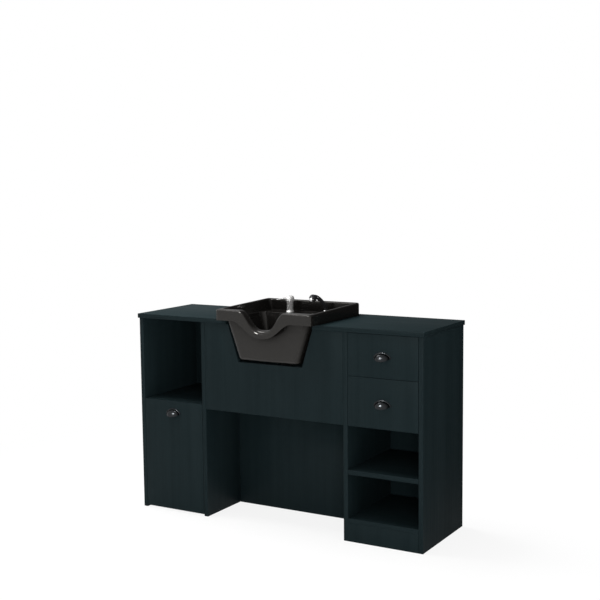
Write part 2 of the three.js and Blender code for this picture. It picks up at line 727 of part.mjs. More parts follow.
// Rings over the rim, from the skirt's foot to the top of the basin wall, lifted off by the shell's wall
function rimRings(wall) {
  const rings = [];
  const foot = (point) => [point.x, point.y, -SKIRT_DIP_DEPTH * skirtDip(point)];
  rings.push(ringOf(rimRect(wall), foot));
  const steps = 3;
  for (let i = 0; i <= steps; i += 1) {
    const angle = (Math.PI / 2) * (i / steps);
    const across = 1 - Math.cos(angle);
    const rect = rimRect(wall + (EDGE_ROLL - wall) * across);
    rings.push(ringOf(rect, (point) => {
      const roll = outerRoll(point) - wall;
      const extra = (outerRoll(point) - EDGE_ROLL) * across;
      const top = crest(point) - wall;
      return [point.x, point.y + extra * point.frontness, top - roll * (1 - Math.sin(angle))];
    }));
  }
  const first = wall ? 1 : 0;
  for (let i = first; i <= steps; i += 1) {
    const angle = (Math.PI / 2) * (i / steps);
    const inward = Math.sin(angle);
    const rect = innerRect((EDGE_ROLL - wall) * (1 - inward) + wall);
    rings.push(ringOf(rect, (point) => {
      const roll = innerRoll(point) - wall;
      const extra = (innerRoll(point) - EDGE_ROLL) * (1 - inward);
      const top = crest(point) - wall;
      return [point.x, point.y - extra * point.frontness, top - roll * (1 - Math.cos(angle))];
    }));
  }
  return rings;
}

// Rings down the basin wall, past the tap ledge, over the floor and to the drain
function basinRings(wall) {
  const floor = -BELLY_DEPTH + BOWL_WALL - wall;
  const inset = BOWL_WALL - wall;
  const ledge = LEDGE_LEVEL - wall;
  const sunk = (point, level) => {
    const share = (RIM_HEIGHT - level) / (RIM_HEIGHT - floor);
    return mix(crest(point) - wall, floor, share);
  };
  const onLedge = (level) => (point) => [point.x, point.y, mix(sunk(point, level), ledge, point.rearness)];
  const onWall = (level) => (point) => [point.x, point.y, sunk(point, level)];
  const fillet = BELLY_FILLET - inset;
  const low = floor + fillet;
  const rings = [
    ringOf(ledgeRect(inset), onLedge(LEDGE_LEVEL)),
    ringOf(bellyRect(0, inset), onLedge(LEDGE_LEVEL - BOWL_WALL)),
    ringOf(bellyRect(low, inset), onWall(low)),
  ];
  for (const angle of [Math.PI / 5, Math.PI / 2.5]) {
    const rect = bellyRect(low, inset + fillet * (1 - Math.cos(angle)));
    rings.push(ringOf(rect, onWall(low - fillet * Math.sin(angle))));
  }
  const edge = ringOf(bellyRect(low, inset + fillet), (point) => [point.x, point.y, floor]);
  rings.push(edge);
  for (const radius of [DRAIN_FLANGE + BOWL_WALL, DRAIN_HOLE]) {
    rings.push(edge.map(([x, y]) => {
      const angle = Math.atan2(y - DRAIN_Y, x);
      return [radius * Math.cos(angle), DRAIN_Y + radius * Math.sin(angle), floor];
    }));
  }
  return rings;
}

// The shell as one closed skin: over the rim, down into the basin, through the drain, and back up
// under the belly and the rim
function bowlShell() {
  const above = [...rimRings(0), ...basinRings(0)];
  const below = [...rimRings(BOWL_WALL), ...basinRings(BOWL_WALL)].reverse();
  const shell = skin([...above, ...below], true);
  const under = LEDGE_LEVEL - 2 * BOWL_WALL;
  const holeAt = (x, y, radius) => rod(radius, 4 * BOWL_WALL, [x, y, under], [0, 0, 1]);
  return cut(
    shell,
    holeAt(-TAP_SPREAD, TAP_Y, TAP_SHANK_RADIUS + TAP_HOLE_CLEARANCE),
    holeAt(SPRAYER_SPREAD, SPRAYER_Y, GUIDE_BORE + GUIDE_WALL + JOINT_GAP),
  );
}

// Drain flange on the basin floor, its lock nut under the belly, and the strainer in its recess
function drain(parent, strainerBody) {
  const outer = DRAIN_BORE + DRAIN_TUBE_WALL;
  const seat = BASIN_FLOOR + JOINT_GAP;
  const top = seat + DRAIN_LIP_THICKNESS;
  const recess = DRAIN_BORE + STRAINER_SEAT;
  const low = -BELLY_DEPTH - DRAIN_THREAD;
  const flange = turned([
    [DRAIN_BORE, low], [outer, low], [outer, seat], [DRAIN_FLANGE, seat],
    [DRAIN_FLANGE, seat + DRAIN_LIP_THICKNESS / 3], [DRAIN_FLANGE - STRAINER_RECESS, top],
    [recess, top], [recess, top - STRAINER_RECESS], [DRAIN_BORE, top - STRAINER_RECESS], [DRAIN_BORE, low],
  ]);
  piece(parent, 'drain_flange', chrome, flange.translate(0, DRAIN_Y, 0));

  const nutTop = -BELLY_DEPTH - JOINT_GAP;
  const nut = rod(outer + NUT_WIDTH, NUT_HEIGHT, [0, 0, nutTop - NUT_HEIGHT], [0, 0, 1], 6);
  const bore = rod(outer + JOINT_GAP, 2 * NUT_HEIGHT, [0, 0, nutTop - 1.5 * NUT_HEIGHT], [0, 0, 1]);
  piece(parent, 'drain_lock_nut', wastePlastic, cut(nut, bore).translate(0, DRAIN_Y, 0));

  const rim = recess - JOINT_GAP;
  const base = top - STRAINER_RECESS + JOINT_GAP;
  const disc = turned([
    [0, base], [rim, base], [rim, top], [rim - STRAINER_RECESS, top],
    [2 * STRAINER_KNOB, top - STRAINER_EDGE],
    [STRAINER_KNOB, top + STRAINER_KNOB / 2], [STRAINER_KNOB, top + STRAINER_KNOB],
    [0, top + 1.25 * STRAINER_KNOB],
  ]);
  const ring = mix(STRAINER_KNOB, rim, STRAINER_HOLE_SHARE);
  const holes = Array.from({ length: STRAINER_HOLES }, (_, i) => {
    const angle = (2 * Math.PI * i) / STRAINER_HOLES;
    const at = [ring * Math.cos(angle), ring * Math.sin(angle), base - DRAIN_LIP_THICKNESS];
    return rod(STRAINER_HOLE, 3 * DRAIN_LIP_THICKNESS, at, [0, 0, 1], 8);
  });
  piece(strainerBody, 'hair_strainer', chrome, cut(disc, ...holes).translate(0, DRAIN_Y, 0));
}

// Tailpiece, trap bend and waste arm, in the bowl's frame
function waste(parent) {
  const level = COUNTER_HEIGHT + JOINT_GAP;
  const socketTop = TRAP_TOP - level;
  const across = [0, 1, 0];
  const top = -BELLY_DEPTH - DRAIN_THREAD + PIPE_OVERLAP;
  const bottom = socketTop - PIPE_OVERLAP;
  const bore = PIPE_RADIUS - PIPE_WALL;
  const drop = pathOf([0, DRAIN_Y, top], [0, 0, -1], across, [{ straight: top - bottom }]);
  piece(parent, 'tailpiece', wastePlastic, tube(drop, PIPE_RADIUS, bore, 1));

  const socketBore = PIPE_RADIUS + PIPE_CLEARANCE;
  const socketOuter = socketBore + PIPE_WALL;
  const trapPath = pathOf([0, DRAIN_Y, socketTop], [0, 0, -1], across, [
    { straight: TRAP_SOCKET },
    { radius: TRAP_BEND_RADIUS, turn: -Math.PI },
    { straight: TRAP_SOCKET },
  ]);
  const trap = tube(trapPath, socketOuter, socketBore, BEND_STEPS);
  const nut = turned([
    [socketOuter - PIPE_WALL / 2, -TRAP_NUT_HEIGHT], [socketOuter + TRAP_NUT_WIDTH, -TRAP_NUT_HEIGHT],
    [socketOuter + TRAP_NUT_WIDTH, 0], [socketOuter - PIPE_WALL / 2, 0],
    [socketOuter - PIPE_WALL / 2, -TRAP_NUT_HEIGHT],
  ], 12);
  const armX = 2 * TRAP_BEND_RADIUS;
  const nuts = [0, armX].map((x) => nut.clone().translate(x, DRAIN_Y, socketTop));
  piece(parent, 'trap_bend', wastePlastic, join(trap, ...nuts));

  const armPath = pathOf([armX, DRAIN_Y, bottom], [0, 0, 1], [1, 0, 0], [
    { straight: PIPE_OVERLAP + ARM_RISE },
    { radius: ARM_BEND_RADIUS, turn: -Math.PI / 2 },
    { straight: CABINET_DEPTH - DRAIN_Y - ARM_BEND_RADIUS },
  ]);
  piece(parent, 'trap_arm', wastePlastic, tube(armPath, PIPE_RADIUS, bore, BEND_STEPS));
}

// Mixer tap on the left of the ledge: body with a ball top, turning cartridge, lever hood
function tap(parent, swivel, lever) {
  const seat = LEDGE_LEVEL + JOINT_GAP;
  const waist = -Math.acos(TAP_BODY_RADIUS / TAP_BALL_RADIUS);
  const crown = Math.asin(TAP_BALL_TOP / TAP_BALL_RADIUS);
  const body = turned([
    [0, -TAP_SHANK_LENGTH], [TAP_SHANK_RADIUS, -TAP_SHANK_LENGTH], [TAP_SHANK_RADIUS, 0],
    [TAP_FLANGE_RADIUS, 0], [TAP_FLANGE_RADIUS, TAP_FLANGE_HEIGHT / 3],
    [TAP_FLANGE_RADIUS - TAP_FLANGE_ROUND, 2 * TAP_FLANGE_HEIGHT / 3],
    [TAP_BODY_RADIUS + TAP_FLANGE_ROUND, TAP_FLANGE_HEIGHT],
    [TAP_BODY_RADIUS, TAP_FLANGE_HEIGHT + TAP_FLANGE_ROUND],
    ...arcPoints(TAP_BALL_RADIUS, TAP_BALL_LEVEL, waist, crown, 5),
    [0, TAP_BALL_LEVEL + TAP_BALL_TOP],
  ]);
  piece(parent, 'tap_body', chrome, body.translate(-TAP_SPREAD, TAP_Y, seat));

  const cap = TAP_BALL_TOP + JOINT_GAP;
  const capAngle = Math.asin(cap / TAP_BALL_RADIUS);
  const cartridge = turned([
    [0, TAP_BALL_LEVEL + cap],
    ...arcPoints(TAP_BALL_RADIUS, TAP_BALL_LEVEL, capAngle, Math.PI / 2, 4).slice(0, -1),
    [0, TAP_BALL_LEVEL + TAP_BALL_RADIUS],
  ]);
  piece(swivel, 'tap_cartridge', steel, cartridge.translate(-TAP_SPREAD, TAP_Y, seat));

  const hood = piece(lever, 'tap_lever', chrome, tapHood());
  hood.position.set(-TAP_SPREAD, TAP_Y, seat + TAP_BALL_LEVEL);
  hood.rotation.z = LEVER_TURN;
}

// The hood over the ball with its blade, about the ball's centre; the blade points along -X
function tapHood() {
  const inner = TAP_BALL_RADIUS + HOOD_CLEARANCE;
  const outer = inner + HOOD_WALL;
  const mouth = -Math.asin(HOOD_SKIRT / inner);
  const cup = turned([
    [0, inner],
    ...arcPoints(inner, 0, mouth, Math.PI / 2, 7).slice(0, -1).reverse(),
    [outer, -HOOD_SKIRT],
    ...HOOD_CROWN.map(([across, up]) => [across * outer, up * outer]),
    [0, inner],
  ]);
  const steps = 6;
  const blade = Array.from({ length: steps + 1 }, (_, i) => {
    const t = i / steps;
    const root = (inner + outer) / 2;
    const x = -mix(root, LEVER_LENGTH, t);
    const z = LEVER_LEVEL - LEVER_DROOP * Math.sin((Math.PI / 2) * t);
    const width = mix(LEVER_WIDTH, LEVER_TIP_WIDTH, t) * (t < 1 ? 1 : LEVER_END_SHARE);
    return bladeSection(x, z, width, mix(LEVER_THICKNESS, LEVER_TIP_THICKNESS, t));
  });
  return join(cup, skin(blade, false));
}

// One upright oval section of the lever's blade
function bladeSection(x, z, width, thickness) {
  const sides = 12;
  return Array.from({ length: sides }, (_, i) => {
    const angle = (2 * Math.PI * i) / sides;
    const soft = (value) => Math.sign(value) * Math.abs(value) ** LEVER_SQUARENESS;
    return [x, -(width / 2) * soft(Math.cos(angle)), z + (thickness / 2) * soft(Math.sin(angle))];
  });
}

// Hand sprayer in its deck guide on the right of the ledge
function sprayer(parent, body) {
  const seat = LEDGE_LEVEL + JOINT_GAP;
  const shank = GUIDE_BORE + GUIDE_WALL;
  const guide = turned([
    [GUIDE_BORE, -GUIDE_SHANK], [shank, -GUIDE_SHANK], [shank, 0], [GUIDE_FLANGE, 0],
    [GUIDE_FLANGE, GUIDE_FLANGE_HEIGHT], [shank + GUIDE_COLLAR, 2 * GUIDE_FLANGE_HEIGHT],
    [shank + GUIDE_COLLAR, GUIDE_HEIGHT - GUIDE_COLLAR], [shank, GUIDE_HEIGHT],
    [GUIDE_BORE, GUIDE_HEIGHT], [GUIDE_BORE, -GUIDE_SHANK],
  ]);
  piece(parent, 'sprayer_guide', chrome, guide.translate(SPRAYER_SPREAD, SPRAYER_Y, seat));

  const holder = new THREE.Group();
  holder.position.set(SPRAYER_SPREAD, SPRAYER_Y, seat);
  holder.rotation.z = SPRAY_TURN;
  body.add(holder);
  piece(holder, 'sprayer_handle', handlePlastic, join(sprayHandle(), onHead(headShell())));
  piece(holder, 'sprayer_nozzle', chrome, onHead(nozzle()));
}

// The handle rises through its guide, then leans and arches out along -X to its head
function sprayHandle() {
  const start = new THREE.Vector3(0, 0, HANDLE_START);
  const path = new THREE.CurvePath();
  path.add(new THREE.LineCurve3(new THREE.Vector3(0, 0, -HANDLE_DEPTH), start));
  path.add(new THREE.CubicBezierCurve3(
    start,
    new THREE.Vector3(0, 0, HANDLE_START + HANDLE_UPRIGHT),
    new THREE.Vector3(-0.6 * SPRAY_REACH, 0, SPRAY_LEVEL + SPRAY_CROWN),
    new THREE.Vector3(-SPRAY_REACH, 0, SPRAY_LEVEL),
  ));
  return tube(path, HANDLE_RADIUS, 0, BEND_STEPS);
}

// Places a turned form with its face down towards the basin, at the end of the handle
function onHead(geometry) {
  geometry.translate(0, 0, -HEAD_NECK);
  geometry.rotateY(-Math.PI / 2 - HEAD_TILT);
  return geometry.translate(-SPRAY_REACH, 0, SPRAY_LEVEL);
}

function headShell() {
  const mouth = HEAD_RADIUS - HEAD_WALL;
  const steps = 6;
  const back = Array.from({ length: steps }, (_, i) => {
    const angle = ((Math.PI / 2) * (i + 1)) / steps;
    return [HEAD_RADIUS * Math.sin(angle), HEAD_BACK * (1 - Math.cos(angle))];
  });
  return turned([
    [0, 0], ...back,
    [HEAD_RADIUS, HEAD_DEPTH - HEAD_EDGE], [HEAD_RADIUS - HEAD_EDGE, HEAD_DEPTH], [mouth, HEAD_DEPTH],
    [mouth, HEAD_DEPTH - NOZZLE_RECESS], [0, HEAD_DEPTH - NOZZLE_RECESS],
  ]);
}

function nozzle() {
  const radius = HEAD_RADIUS - HEAD_WALL - JOINT_GAP;
  const base = HEAD_DEPTH - NOZZLE_RECESS + JOINT_GAP;
  const face = HEAD_DEPTH + NOZZLE_LENGTH;
  return turned([
    [0, base], [radius, base], [radius, HEAD_DEPTH + NOZZLE_RIB], [NOZZLE_RADIUS, face - NOZZLE_RIB],
    [NOZZLE_RADIUS - NOZZLE_RIB, face], [NOZZLE_RADIUS - 2 * NOZZLE_RIB, face - NOZZLE_RIB],
    [0, face - NOZZLE_RIB],
  ]);
}

// Build order
const group = new THREE.Group();
group.name = 'shampoo_station';
group.position.set(0, -MIDDLE_Y, 0);

const carcass = new THREE.Group();
const doorBody = new THREE.Group();
const upperDrawer = new THREE.Group();
const lowerDrawer = new THREE.Group();
const bowl = new THREE.Group();
const strainerBody = new THREE.Group();
const tapSwivel = new THREE.Group();
const tapLever = new THREE.Group();
const sprayerBody = new THREE.Group();
bowl.position.set(BOWL_OFFSET, 0, COUNTER_HEIGHT + JOINT_GAP);
bowl.add(strainerBody, tapSwivel, tapLever, sprayerBody);
group.add(carcass, doorBody, upperDrawer, lowerDrawer, bowl);

piece(carcass, 'counter', laminate, counter());
piece(carcass, 'apron', laminate, apron());
piece(carcass, 'knee_panel', laminate, kneePanel());
leftTower(carcass, doorBody);
rightTower(carcass, upperDrawer, lowerDrawer);
piece(bowl, 'bowl_shell', bowlPlastic, bowlShell());
drain(bowl, strainerBody);
waste(bowl);
tap(bowl, tapSwivel, tapLever);
sprayer(bowl, sprayerBody);

export default group;
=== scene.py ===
"""Looks of a shampoo station: laminated cabinet, black dipped bowl, lever tap and hand sprayer.

The model's frame has +Z up, its front towards -Y and the floor at z = 0. Scene places are in
metres. The detailed pieces are drawn in millimetres, and mesh_object scales them.
"""

import math

import bmesh
import bpy
import numpy as np
from mathutils import Matrix, Vector


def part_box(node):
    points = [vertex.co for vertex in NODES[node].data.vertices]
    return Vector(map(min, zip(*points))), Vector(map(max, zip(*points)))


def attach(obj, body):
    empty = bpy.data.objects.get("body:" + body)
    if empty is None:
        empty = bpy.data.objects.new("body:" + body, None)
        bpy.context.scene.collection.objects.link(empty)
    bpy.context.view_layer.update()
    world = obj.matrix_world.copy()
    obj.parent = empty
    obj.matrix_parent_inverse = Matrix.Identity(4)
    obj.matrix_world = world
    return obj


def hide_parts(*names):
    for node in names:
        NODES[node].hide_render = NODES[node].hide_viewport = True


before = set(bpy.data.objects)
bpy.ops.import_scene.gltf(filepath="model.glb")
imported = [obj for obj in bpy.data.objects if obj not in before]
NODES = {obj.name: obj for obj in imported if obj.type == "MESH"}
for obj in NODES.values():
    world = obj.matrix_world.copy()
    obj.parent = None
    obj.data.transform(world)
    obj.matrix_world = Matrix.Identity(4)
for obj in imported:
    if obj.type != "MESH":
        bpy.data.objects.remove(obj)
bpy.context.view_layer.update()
MM = 0.001
QUARTER_TURN = math.pi / 2
TINY = 1e-6
WELD_METRES = 1e-7
SMOOTH_ANGLE = 32
TUBE_ANGLE = 50
WHITE = (1.0, 1.0, 1.0, 1.0)
NO_TINT = (1.0, 1.0, 1.0)

# Cabinet values that the detailed pieces share with the model, in millimetres
MIDDLE_Y = 182.5
COUNTER_HEIGHT = 900.0
JOINT_GAP = 0.3
BOWL_X = -12.0
BOWL_Y = -MIDDLE_Y
BOWL_Z = COUNTER_HEIGHT + JOINT_GAP


# Mesh helpers


def mix(a, b, t):
    return a + (b - a) * t


def smooth(t):
    return t * t * (3 - 2 * t)


def mesh_object(name, points, faces, turn=None):
    """A closed mesh from points in millimetres, moved by a matrix if one is given."""
    mesh = bpy.data.meshes.new(name)
    if turn is not None:
        points = [turn @ Vector(p) for p in points]
    mesh.from_pydata([tuple(float(c) * MM for c in p) for p in points], [], faces)
    work = bmesh.new()
    work.from_mesh(mesh)
    bmesh.ops.remove_doubles(work, verts=work.verts, dist=WELD_METRES)
    bmesh.ops.recalc_face_normals(work, faces=work.faces)
    work.to_mesh(mesh)
    work.free()
    obj = bpy.data.objects.new(name, mesh)
    bpy.context.scene.collection.objects.link(obj)
    return obj


def shade(obj, angle=SMOOTH_ANGLE):
    """Smooth shading that breaks at edges sharper than an angle."""
    mesh = obj.data
    mesh.polygons.foreach_set("use_smooth", [True] * len(mesh.polygons))
    work = bmesh.new()
    work.from_mesh(mesh)
    limit = math.radians(angle)
    for edge in work.edges:
        edge.smooth = len(edge.link_faces) == 2 and edge.calc_face_angle(0) < limit
    work.to_mesh(mesh)
    work.free()


def bevel(obj, width, segments=2, angle=SMOOTH_ANGLE):
    """Soft edges that catch the light; width is in millimetres."""
    modifier = obj.modifiers.new("soft_edges", "BEVEL")
    modifier.width = width * MM
    modifier.segments = segments
    modifier.limit_method = "ANGLE"
    modifier.angle_limit = math.radians(angle)
    modifier.harden_normals = True


def dress(obj, material, body, slot, *stands_for):
    """Gives a piece its material and the body it rides on, and hides the nodes it stands for. The
    slot is not used.
    """
    obj.data.materials.clear()
    obj.data.materials.append(material)
    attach(obj, body)
    if stands_for:
        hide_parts(*stands_for)


def loft(rings, looped=False):
    """Points and faces of a skin over rings of one count, capped at its ends or looped."""
    count = len(rings[0])
    points = [p for ring in rings for p in ring]
    faces = []
    spans = len(rings) if looped else len(rings) - 1
    for r in range(spans):
        low, high = r * count, ((r + 1) % len(rings)) * count
        for i in range(count):
            j = (i + 1) % count
            faces.append((low + i, low + j, high + j, high + i))
    if not looped:
        faces.append(tuple(range(count)))
        faces.append(tuple((len(rings) - 1) * count + i for i in range(count)))
    return points, faces


def rounded(points, radii, steps=4):
    """A line of 2-D points with each corner rounded by its own radius; the ends stay sharp."""
    points = [np.array(point, float) for point in points]
    line = [tuple(points[0])]
    for i in range(1, len(points) - 1):
        here = points[i]
        before, after = points[i - 1] - here, points[i + 1] - here
        reach = min(radii[i], np.linalg.norm(before) / 2, np.linalg.norm(after) / 2)
        if reach < TINY:
            line.append(tuple(here))
            continue
        start = here + before / np.linalg.norm(before) * reach
        end = here + after / np.linalg.norm(after) * reach
        for k in range(steps + 1):
            t = k / steps
            line.append(tuple((1 - t) ** 2 * start + 2 * t * (1 - t) * here + t * t * end))
    line.append(tuple(points[-1]))
    return line


def turned(name, profile, turn, sides=72):
    """A profile of (radius, height) turned about Z and placed by a matrix."""
    points, rows, faces = [], [], []
    for r, z in profile:
        if r < TINY:
            rows.append([len(points)] * sides)
            points.append((0, 0, z))
            continue
        rows.append(list(range(len(points), len(points) + sides)))
        for i in range(sides):
            around = 2 * math.pi * i / sides
            points.append((r * math.cos(around), r * math.sin(around), z))
    for low, high in zip(rows, rows[1:]):
        for i in range(sides):
            j = (i + 1) % sides
            corner = []
            for v in (low[i], low[j], high[j], high[i]):
                if v not in corner:
                    corner.append(v)
            if len(corner) > 2:
                faces.append(tuple(corner))
    obj = mesh_object(name, points, faces, turn)
    shade(obj)
    return obj


def fuse(obj, *others, operation="UNION"):
    """Joins other pieces to one, or cuts them out of it, as one closed mesh."""
    for other in others:
        step = obj.modifiers.new("fuse", "BOOLEAN")
        step.operation = operation
        step.solver = "EXACT"
        step.object = other
    depsgraph = bpy.context.evaluated_depsgraph_get()
    made = bpy.data.meshes.new_from_object(obj.evaluated_get(depsgraph))
    obj.modifiers.clear()
    obj.data = made
    for other in others:
        bpy.data.objects.remove(other)
    shade(obj)


def at(x, y, z):
    """A place over the bowl's own origin, as a matrix."""
    return Matrix.Translation((BOWL_X + x, BOWL_Y + y, BOWL_Z + z))


def arc(radius, height, start, end, steps):
    """Points of an arc about (0, height), from one angle above the level to another."""
    angles = np.linspace(start, end, steps + 1)
    return [(radius * math.cos(a), height + radius * math.sin(a)) for a in angles]


def path_frames(path):
    """Directions along a path that starts upright, and a side direction carried without twist."""
    path = [Vector(p) for p in path]
    along = []
    for i in range(len(path)):
        a, b = path[max(i - 1, 0)], path[min(i + 1, len(path) - 1)]
        along.append((b - a).normalized())
    start = Vector((0, 1, 0))
    side = (start - along[0] * start.dot(along[0])).normalized()
    sides = [side]
    for i in range(1, len(path)):
        side = along[i - 1].rotation_difference(along[i]) @ side
        side = (side - along[i] * side.dot(along[i])).normalized()
        sides.append(side)
    return path, along, sides


def swept(name, path, radius_at, turn, bore=0.0, sides=48):
    """A round rod or tube along a path; radius_at gives its radius at each share of the way."""
    path, along, side_of = path_frames(path)

    def rings_of(radius_of):
        rings = []
        for i, point in enumerate(path):
            share = i / (len(path) - 1)
            across = along[i].cross(side_of[i])
            ring = []
            for k in range(sides):
                angle = 2 * math.pi * k / sides
                offset = side_of[i] * math.cos(angle) + across * math.sin(angle)
                ring.append(tuple(point + offset * radius_of(share)))
            rings.append(ring)
        return rings

    rings = rings_of(radius_at)
    if bore:
        rings += rings_of(lambda t: bore)[::-1]
    obj = mesh_object(name, *loft(rings, looped=bool(bore)), turn)
    shade(obj, TUBE_ANGLE)
    return obj


# Material helpers


def add_node(tree, kind, **values):
    """A new node; each value goes to its input of that name, or else to its own setting."""
    made = tree.nodes.new(kind)
    for key, value in values.items():
        if key in made.inputs:
            made.inputs[key].default_value = value
        else:
            setattr(made, key, value)
    return made


def combine(tree, operation, a, b):
    """One operation of arithmetic on two values."""
    made = add_node(tree, "ShaderNodeMath", operation=operation)
    tree.links.new(a, made.inputs[0])
    tree.links.new(b, made.inputs[1])
    return made.outputs["Value"]


def map_range(tree, value, low, high, start=0.0, end=1.0, **settings):
    """A value that runs from start to end, turned into one that runs from low to high."""
    made = add_node(tree, "ShaderNodeMapRange", **settings)
    for key, limit in (("From Min", start), ("From Max", end), ("To Min", low), ("To Max", high)):
        made.inputs[key].default_value = limit
    tree.links.new(value, made.inputs["Value"])
    return made.outputs["Result"]


def scaled(color, factor):
    return tuple(c * factor for c in color)


class Surface:
    """A Principled material with helpers for the nodes that feed it."""

    def __init__(self, name, color, roughness, metallic=0.0, specular=0.5, gloss_tint=NO_TINT):
        self.material = bpy.data.materials.new(name)
        self.material.use_nodes = True
        self.tree = self.material.node_tree
        self.shader = self.tree.nodes["Principled BSDF"]
        self.shader.inputs["Base Color"].default_value = (*color, 1)
        self.shader.inputs["Roughness"].default_value = roughness
        self.shader.inputs["Metallic"].default_value = metallic
        self.shader.inputs["Specular IOR Level"].default_value = specular
        self.shader.inputs["Specular Tint"].default_value = (*gloss_tint, 1)
        self.place = self.node("ShaderNodeTexCoord").outputs["Object"]
        self.normal = None

    def node(self, kind, **values):
        return add_node(self.tree, kind, **values)

    def link(self, source, target):
        self.tree.links.new(source, target)

    def to(self, name, value):
        self.link(value, self.shader.inputs[name])

    def stretched(self, scale, origin=(0, 0, 0)):
        """The place on the surface, scaled for each axis and moved."""
        mapping = self.node("ShaderNodeMapping", Scale=scale, Location=origin)
        self.link(self.place, mapping.inputs["Vector"])
        return mapping.outputs["Vector"]

    def noise(self, scale, detail=4.0, roughness=0.55, distortion=0.0, vector=None):
        made = self.node(
            "ShaderNodeTexNoise",
            Scale=scale, Detail=detail, Roughness=roughness, Distortion=distortion,
        )
        self.link(vector or self.place, made.inputs["Vector"])
        return made.outputs["Fac"]

    def ramp(self, value, *stops):
        """A colour that runs between two stops, each with its value and colour."""
        made = self.node("ShaderNodeValToRGB")
        for element, (position, color) in zip(made.color_ramp.elements, stops):
            element.position = position
            element.color = (*color, 1)
        self.link(value, made.inputs["Fac"])
        return made.outputs["Color"]

    def span(self, value, low, high, start=0.0, end=1.0):
        return map_range(self.tree, value, low, high, start, end)

    def blend(self, a, b, share):
        """One colour that gives way to another by a share; each is a tuple or a socket."""
        made = self.node("ShaderNodeMix", data_type="RGBA")
        self.link(share, made.inputs["Factor"])
        for source, target in ((a, made.inputs["A"]), (b, made.inputs["B"])):
            if isinstance(source, tuple):
                target.default_value = (*source, 1)
            else:
                self.link(source, target)
        return made.outputs["Result"]

    def weighted(self, *pairs):
        """The sum of values, each times its weight."""
        total = None
        for value, weight in pairs:
            made = self.node("ShaderNodeMath", operation="MULTIPLY_ADD")
            self.link(value, made.inputs[0])
            made.inputs[1].default_value = weight
            made.inputs[2].default_value = 0.0
            if total is not None:
                self.link(total, made.inputs[2])
            total = made.outputs["Value"]
        return total

    def bump(self, value, distance, strength):
        """Relief on top of what is there; distance is in millimetres."""
        made = self.node("ShaderNodeBump", Distance=distance * MM, Strength=strength)
        self.link(value, made.inputs["Height"])
        if self.normal is not None:
            self.link(self.normal, made.inputs["Normal"])
        self.normal = made.outputs["Normal"]
        self.to("Normal", self.normal)

    def edges(self, width, patches):
        """One along sharp edges and zero on flat faces, broken by patches; width in millimetres."""
        rounded_off = self.node("ShaderNodeBevel", Radius=width * MM, samples=4)
        facing = self.node("ShaderNodeNewGeometry").outputs["Normal"]
        turn = self.node("ShaderNodeVectorMath", operation="DOT_PRODUCT")
        self.link(rounded_off.outputs["Normal"], turn.inputs[0])
        self.link(facing, turn.inputs[1])
        edge = self.span(turn.outputs["Value"], 1.0, 0.0, start=0.80, end=0.99)
        broken = self.span(patches, 0.0, 0.5, start=0.4, end=0.7)
        return combine(self.tree, "MULTIPLY", edge, broken)

    def openness(self, reach):
        """One on open faces, less in corners and under edges; reach in millimetres."""
        made = self.node("ShaderNodeAmbientOcclusion", Distance=reach * MM, samples=8)
        return made.outputs["AO"]


def laminate(name, along, dark, light, specular):
    """Wood-effect laminate: fine streaks along one axis, embossed pores, and edges made paler in
    patches.
    """
    surface = Surface(name, dark, 0.5, specular=specular)

    def streaks(stretch, origin, **values):
        """Noise that is drawn out along the grain."""
        scale = [stretch if axis == along else 1.0 for axis in "xyz"]
        return surface.noise(vector=surface.stretched(scale, origin), **values)

    broad = streaks(0.028, (0, 0, 0), scale=26.0, detail=3.0, roughness=0.5, distortion=0.4)
    fine = streaks(0.018, (3, 5, 7), scale=210.0, detail=4.0, roughness=0.6, distortion=0.2)
    pores = streaks(0.018, (9, 2, 4), scale=760.0, detail=2.0, roughness=0.5)
    grain = surface.weighted((broad, 0.55), (fine, 0.45))
    tone = surface.ramp(grain, (0.36, dark), (0.62, light))
    pore = surface.span(pores, 0.0, 0.35, start=0.56, end=0.72)
    tone = surface.blend(tone, scaled(dark, 0.7), pore)
    # Edges are made paler in patches.
    paler_edges = surface.edges(0.9, surface.noise(38.0, 3.0))
    surface.to("Base Color", surface.blend(tone, scaled(light, 2.6), paler_edges))
    surface.to("Roughness", surface.span(fine, 0.44, 0.58, start=0.3, end=0.7))
    surface.bump(fine, 0.03, 0.5)
    surface.bump(pores, 0.03, 0.5)
    return surface.material


def moulded(name, color, roughness, specular, peel, painted_corner_shade=False, gloss_tint=NO_TINT):
    """Moulded plastic: orange peel, cloudy smudges, scuffs and dust; may paint shade into its
    corners.
    """
    surface = Surface(name, color, roughness, specular=specular, gloss_tint=gloss_tint)
    cloud = surface.noise(9.0, detail=5.0, roughness=0.6)
    scuffs = surface.noise(140.0, detail=5.0, roughness=0.7, distortion=1.2)
    worn = surface.weighted((cloud, 0.75), (scuffs, 0.25))
    gloss = surface.span(worn, roughness * 0.75, roughness * 1.5, start=0.35, end=0.65)
    surface.to("Roughness", gloss)
    surface.bump(surface.noise(420.0, detail=2.0), peel, 0.5)
    dust = surface.span(surface.noise(1500.0, detail=2.0), 0, 1, start=0.55, end=0.75)
    surface.to("Base Color", surface.blend(color, scaled(color, 1.8), dust))
    # Painted shade: occlusion dims the reflections in corners and under edges.
    if painted_corner_shade:
        shine = surface.span(surface.openness(130.0), 0.01, specular, start=0.42, end=0.95)
        surface.to("Specular IOR Level", shine)
    return surface.material


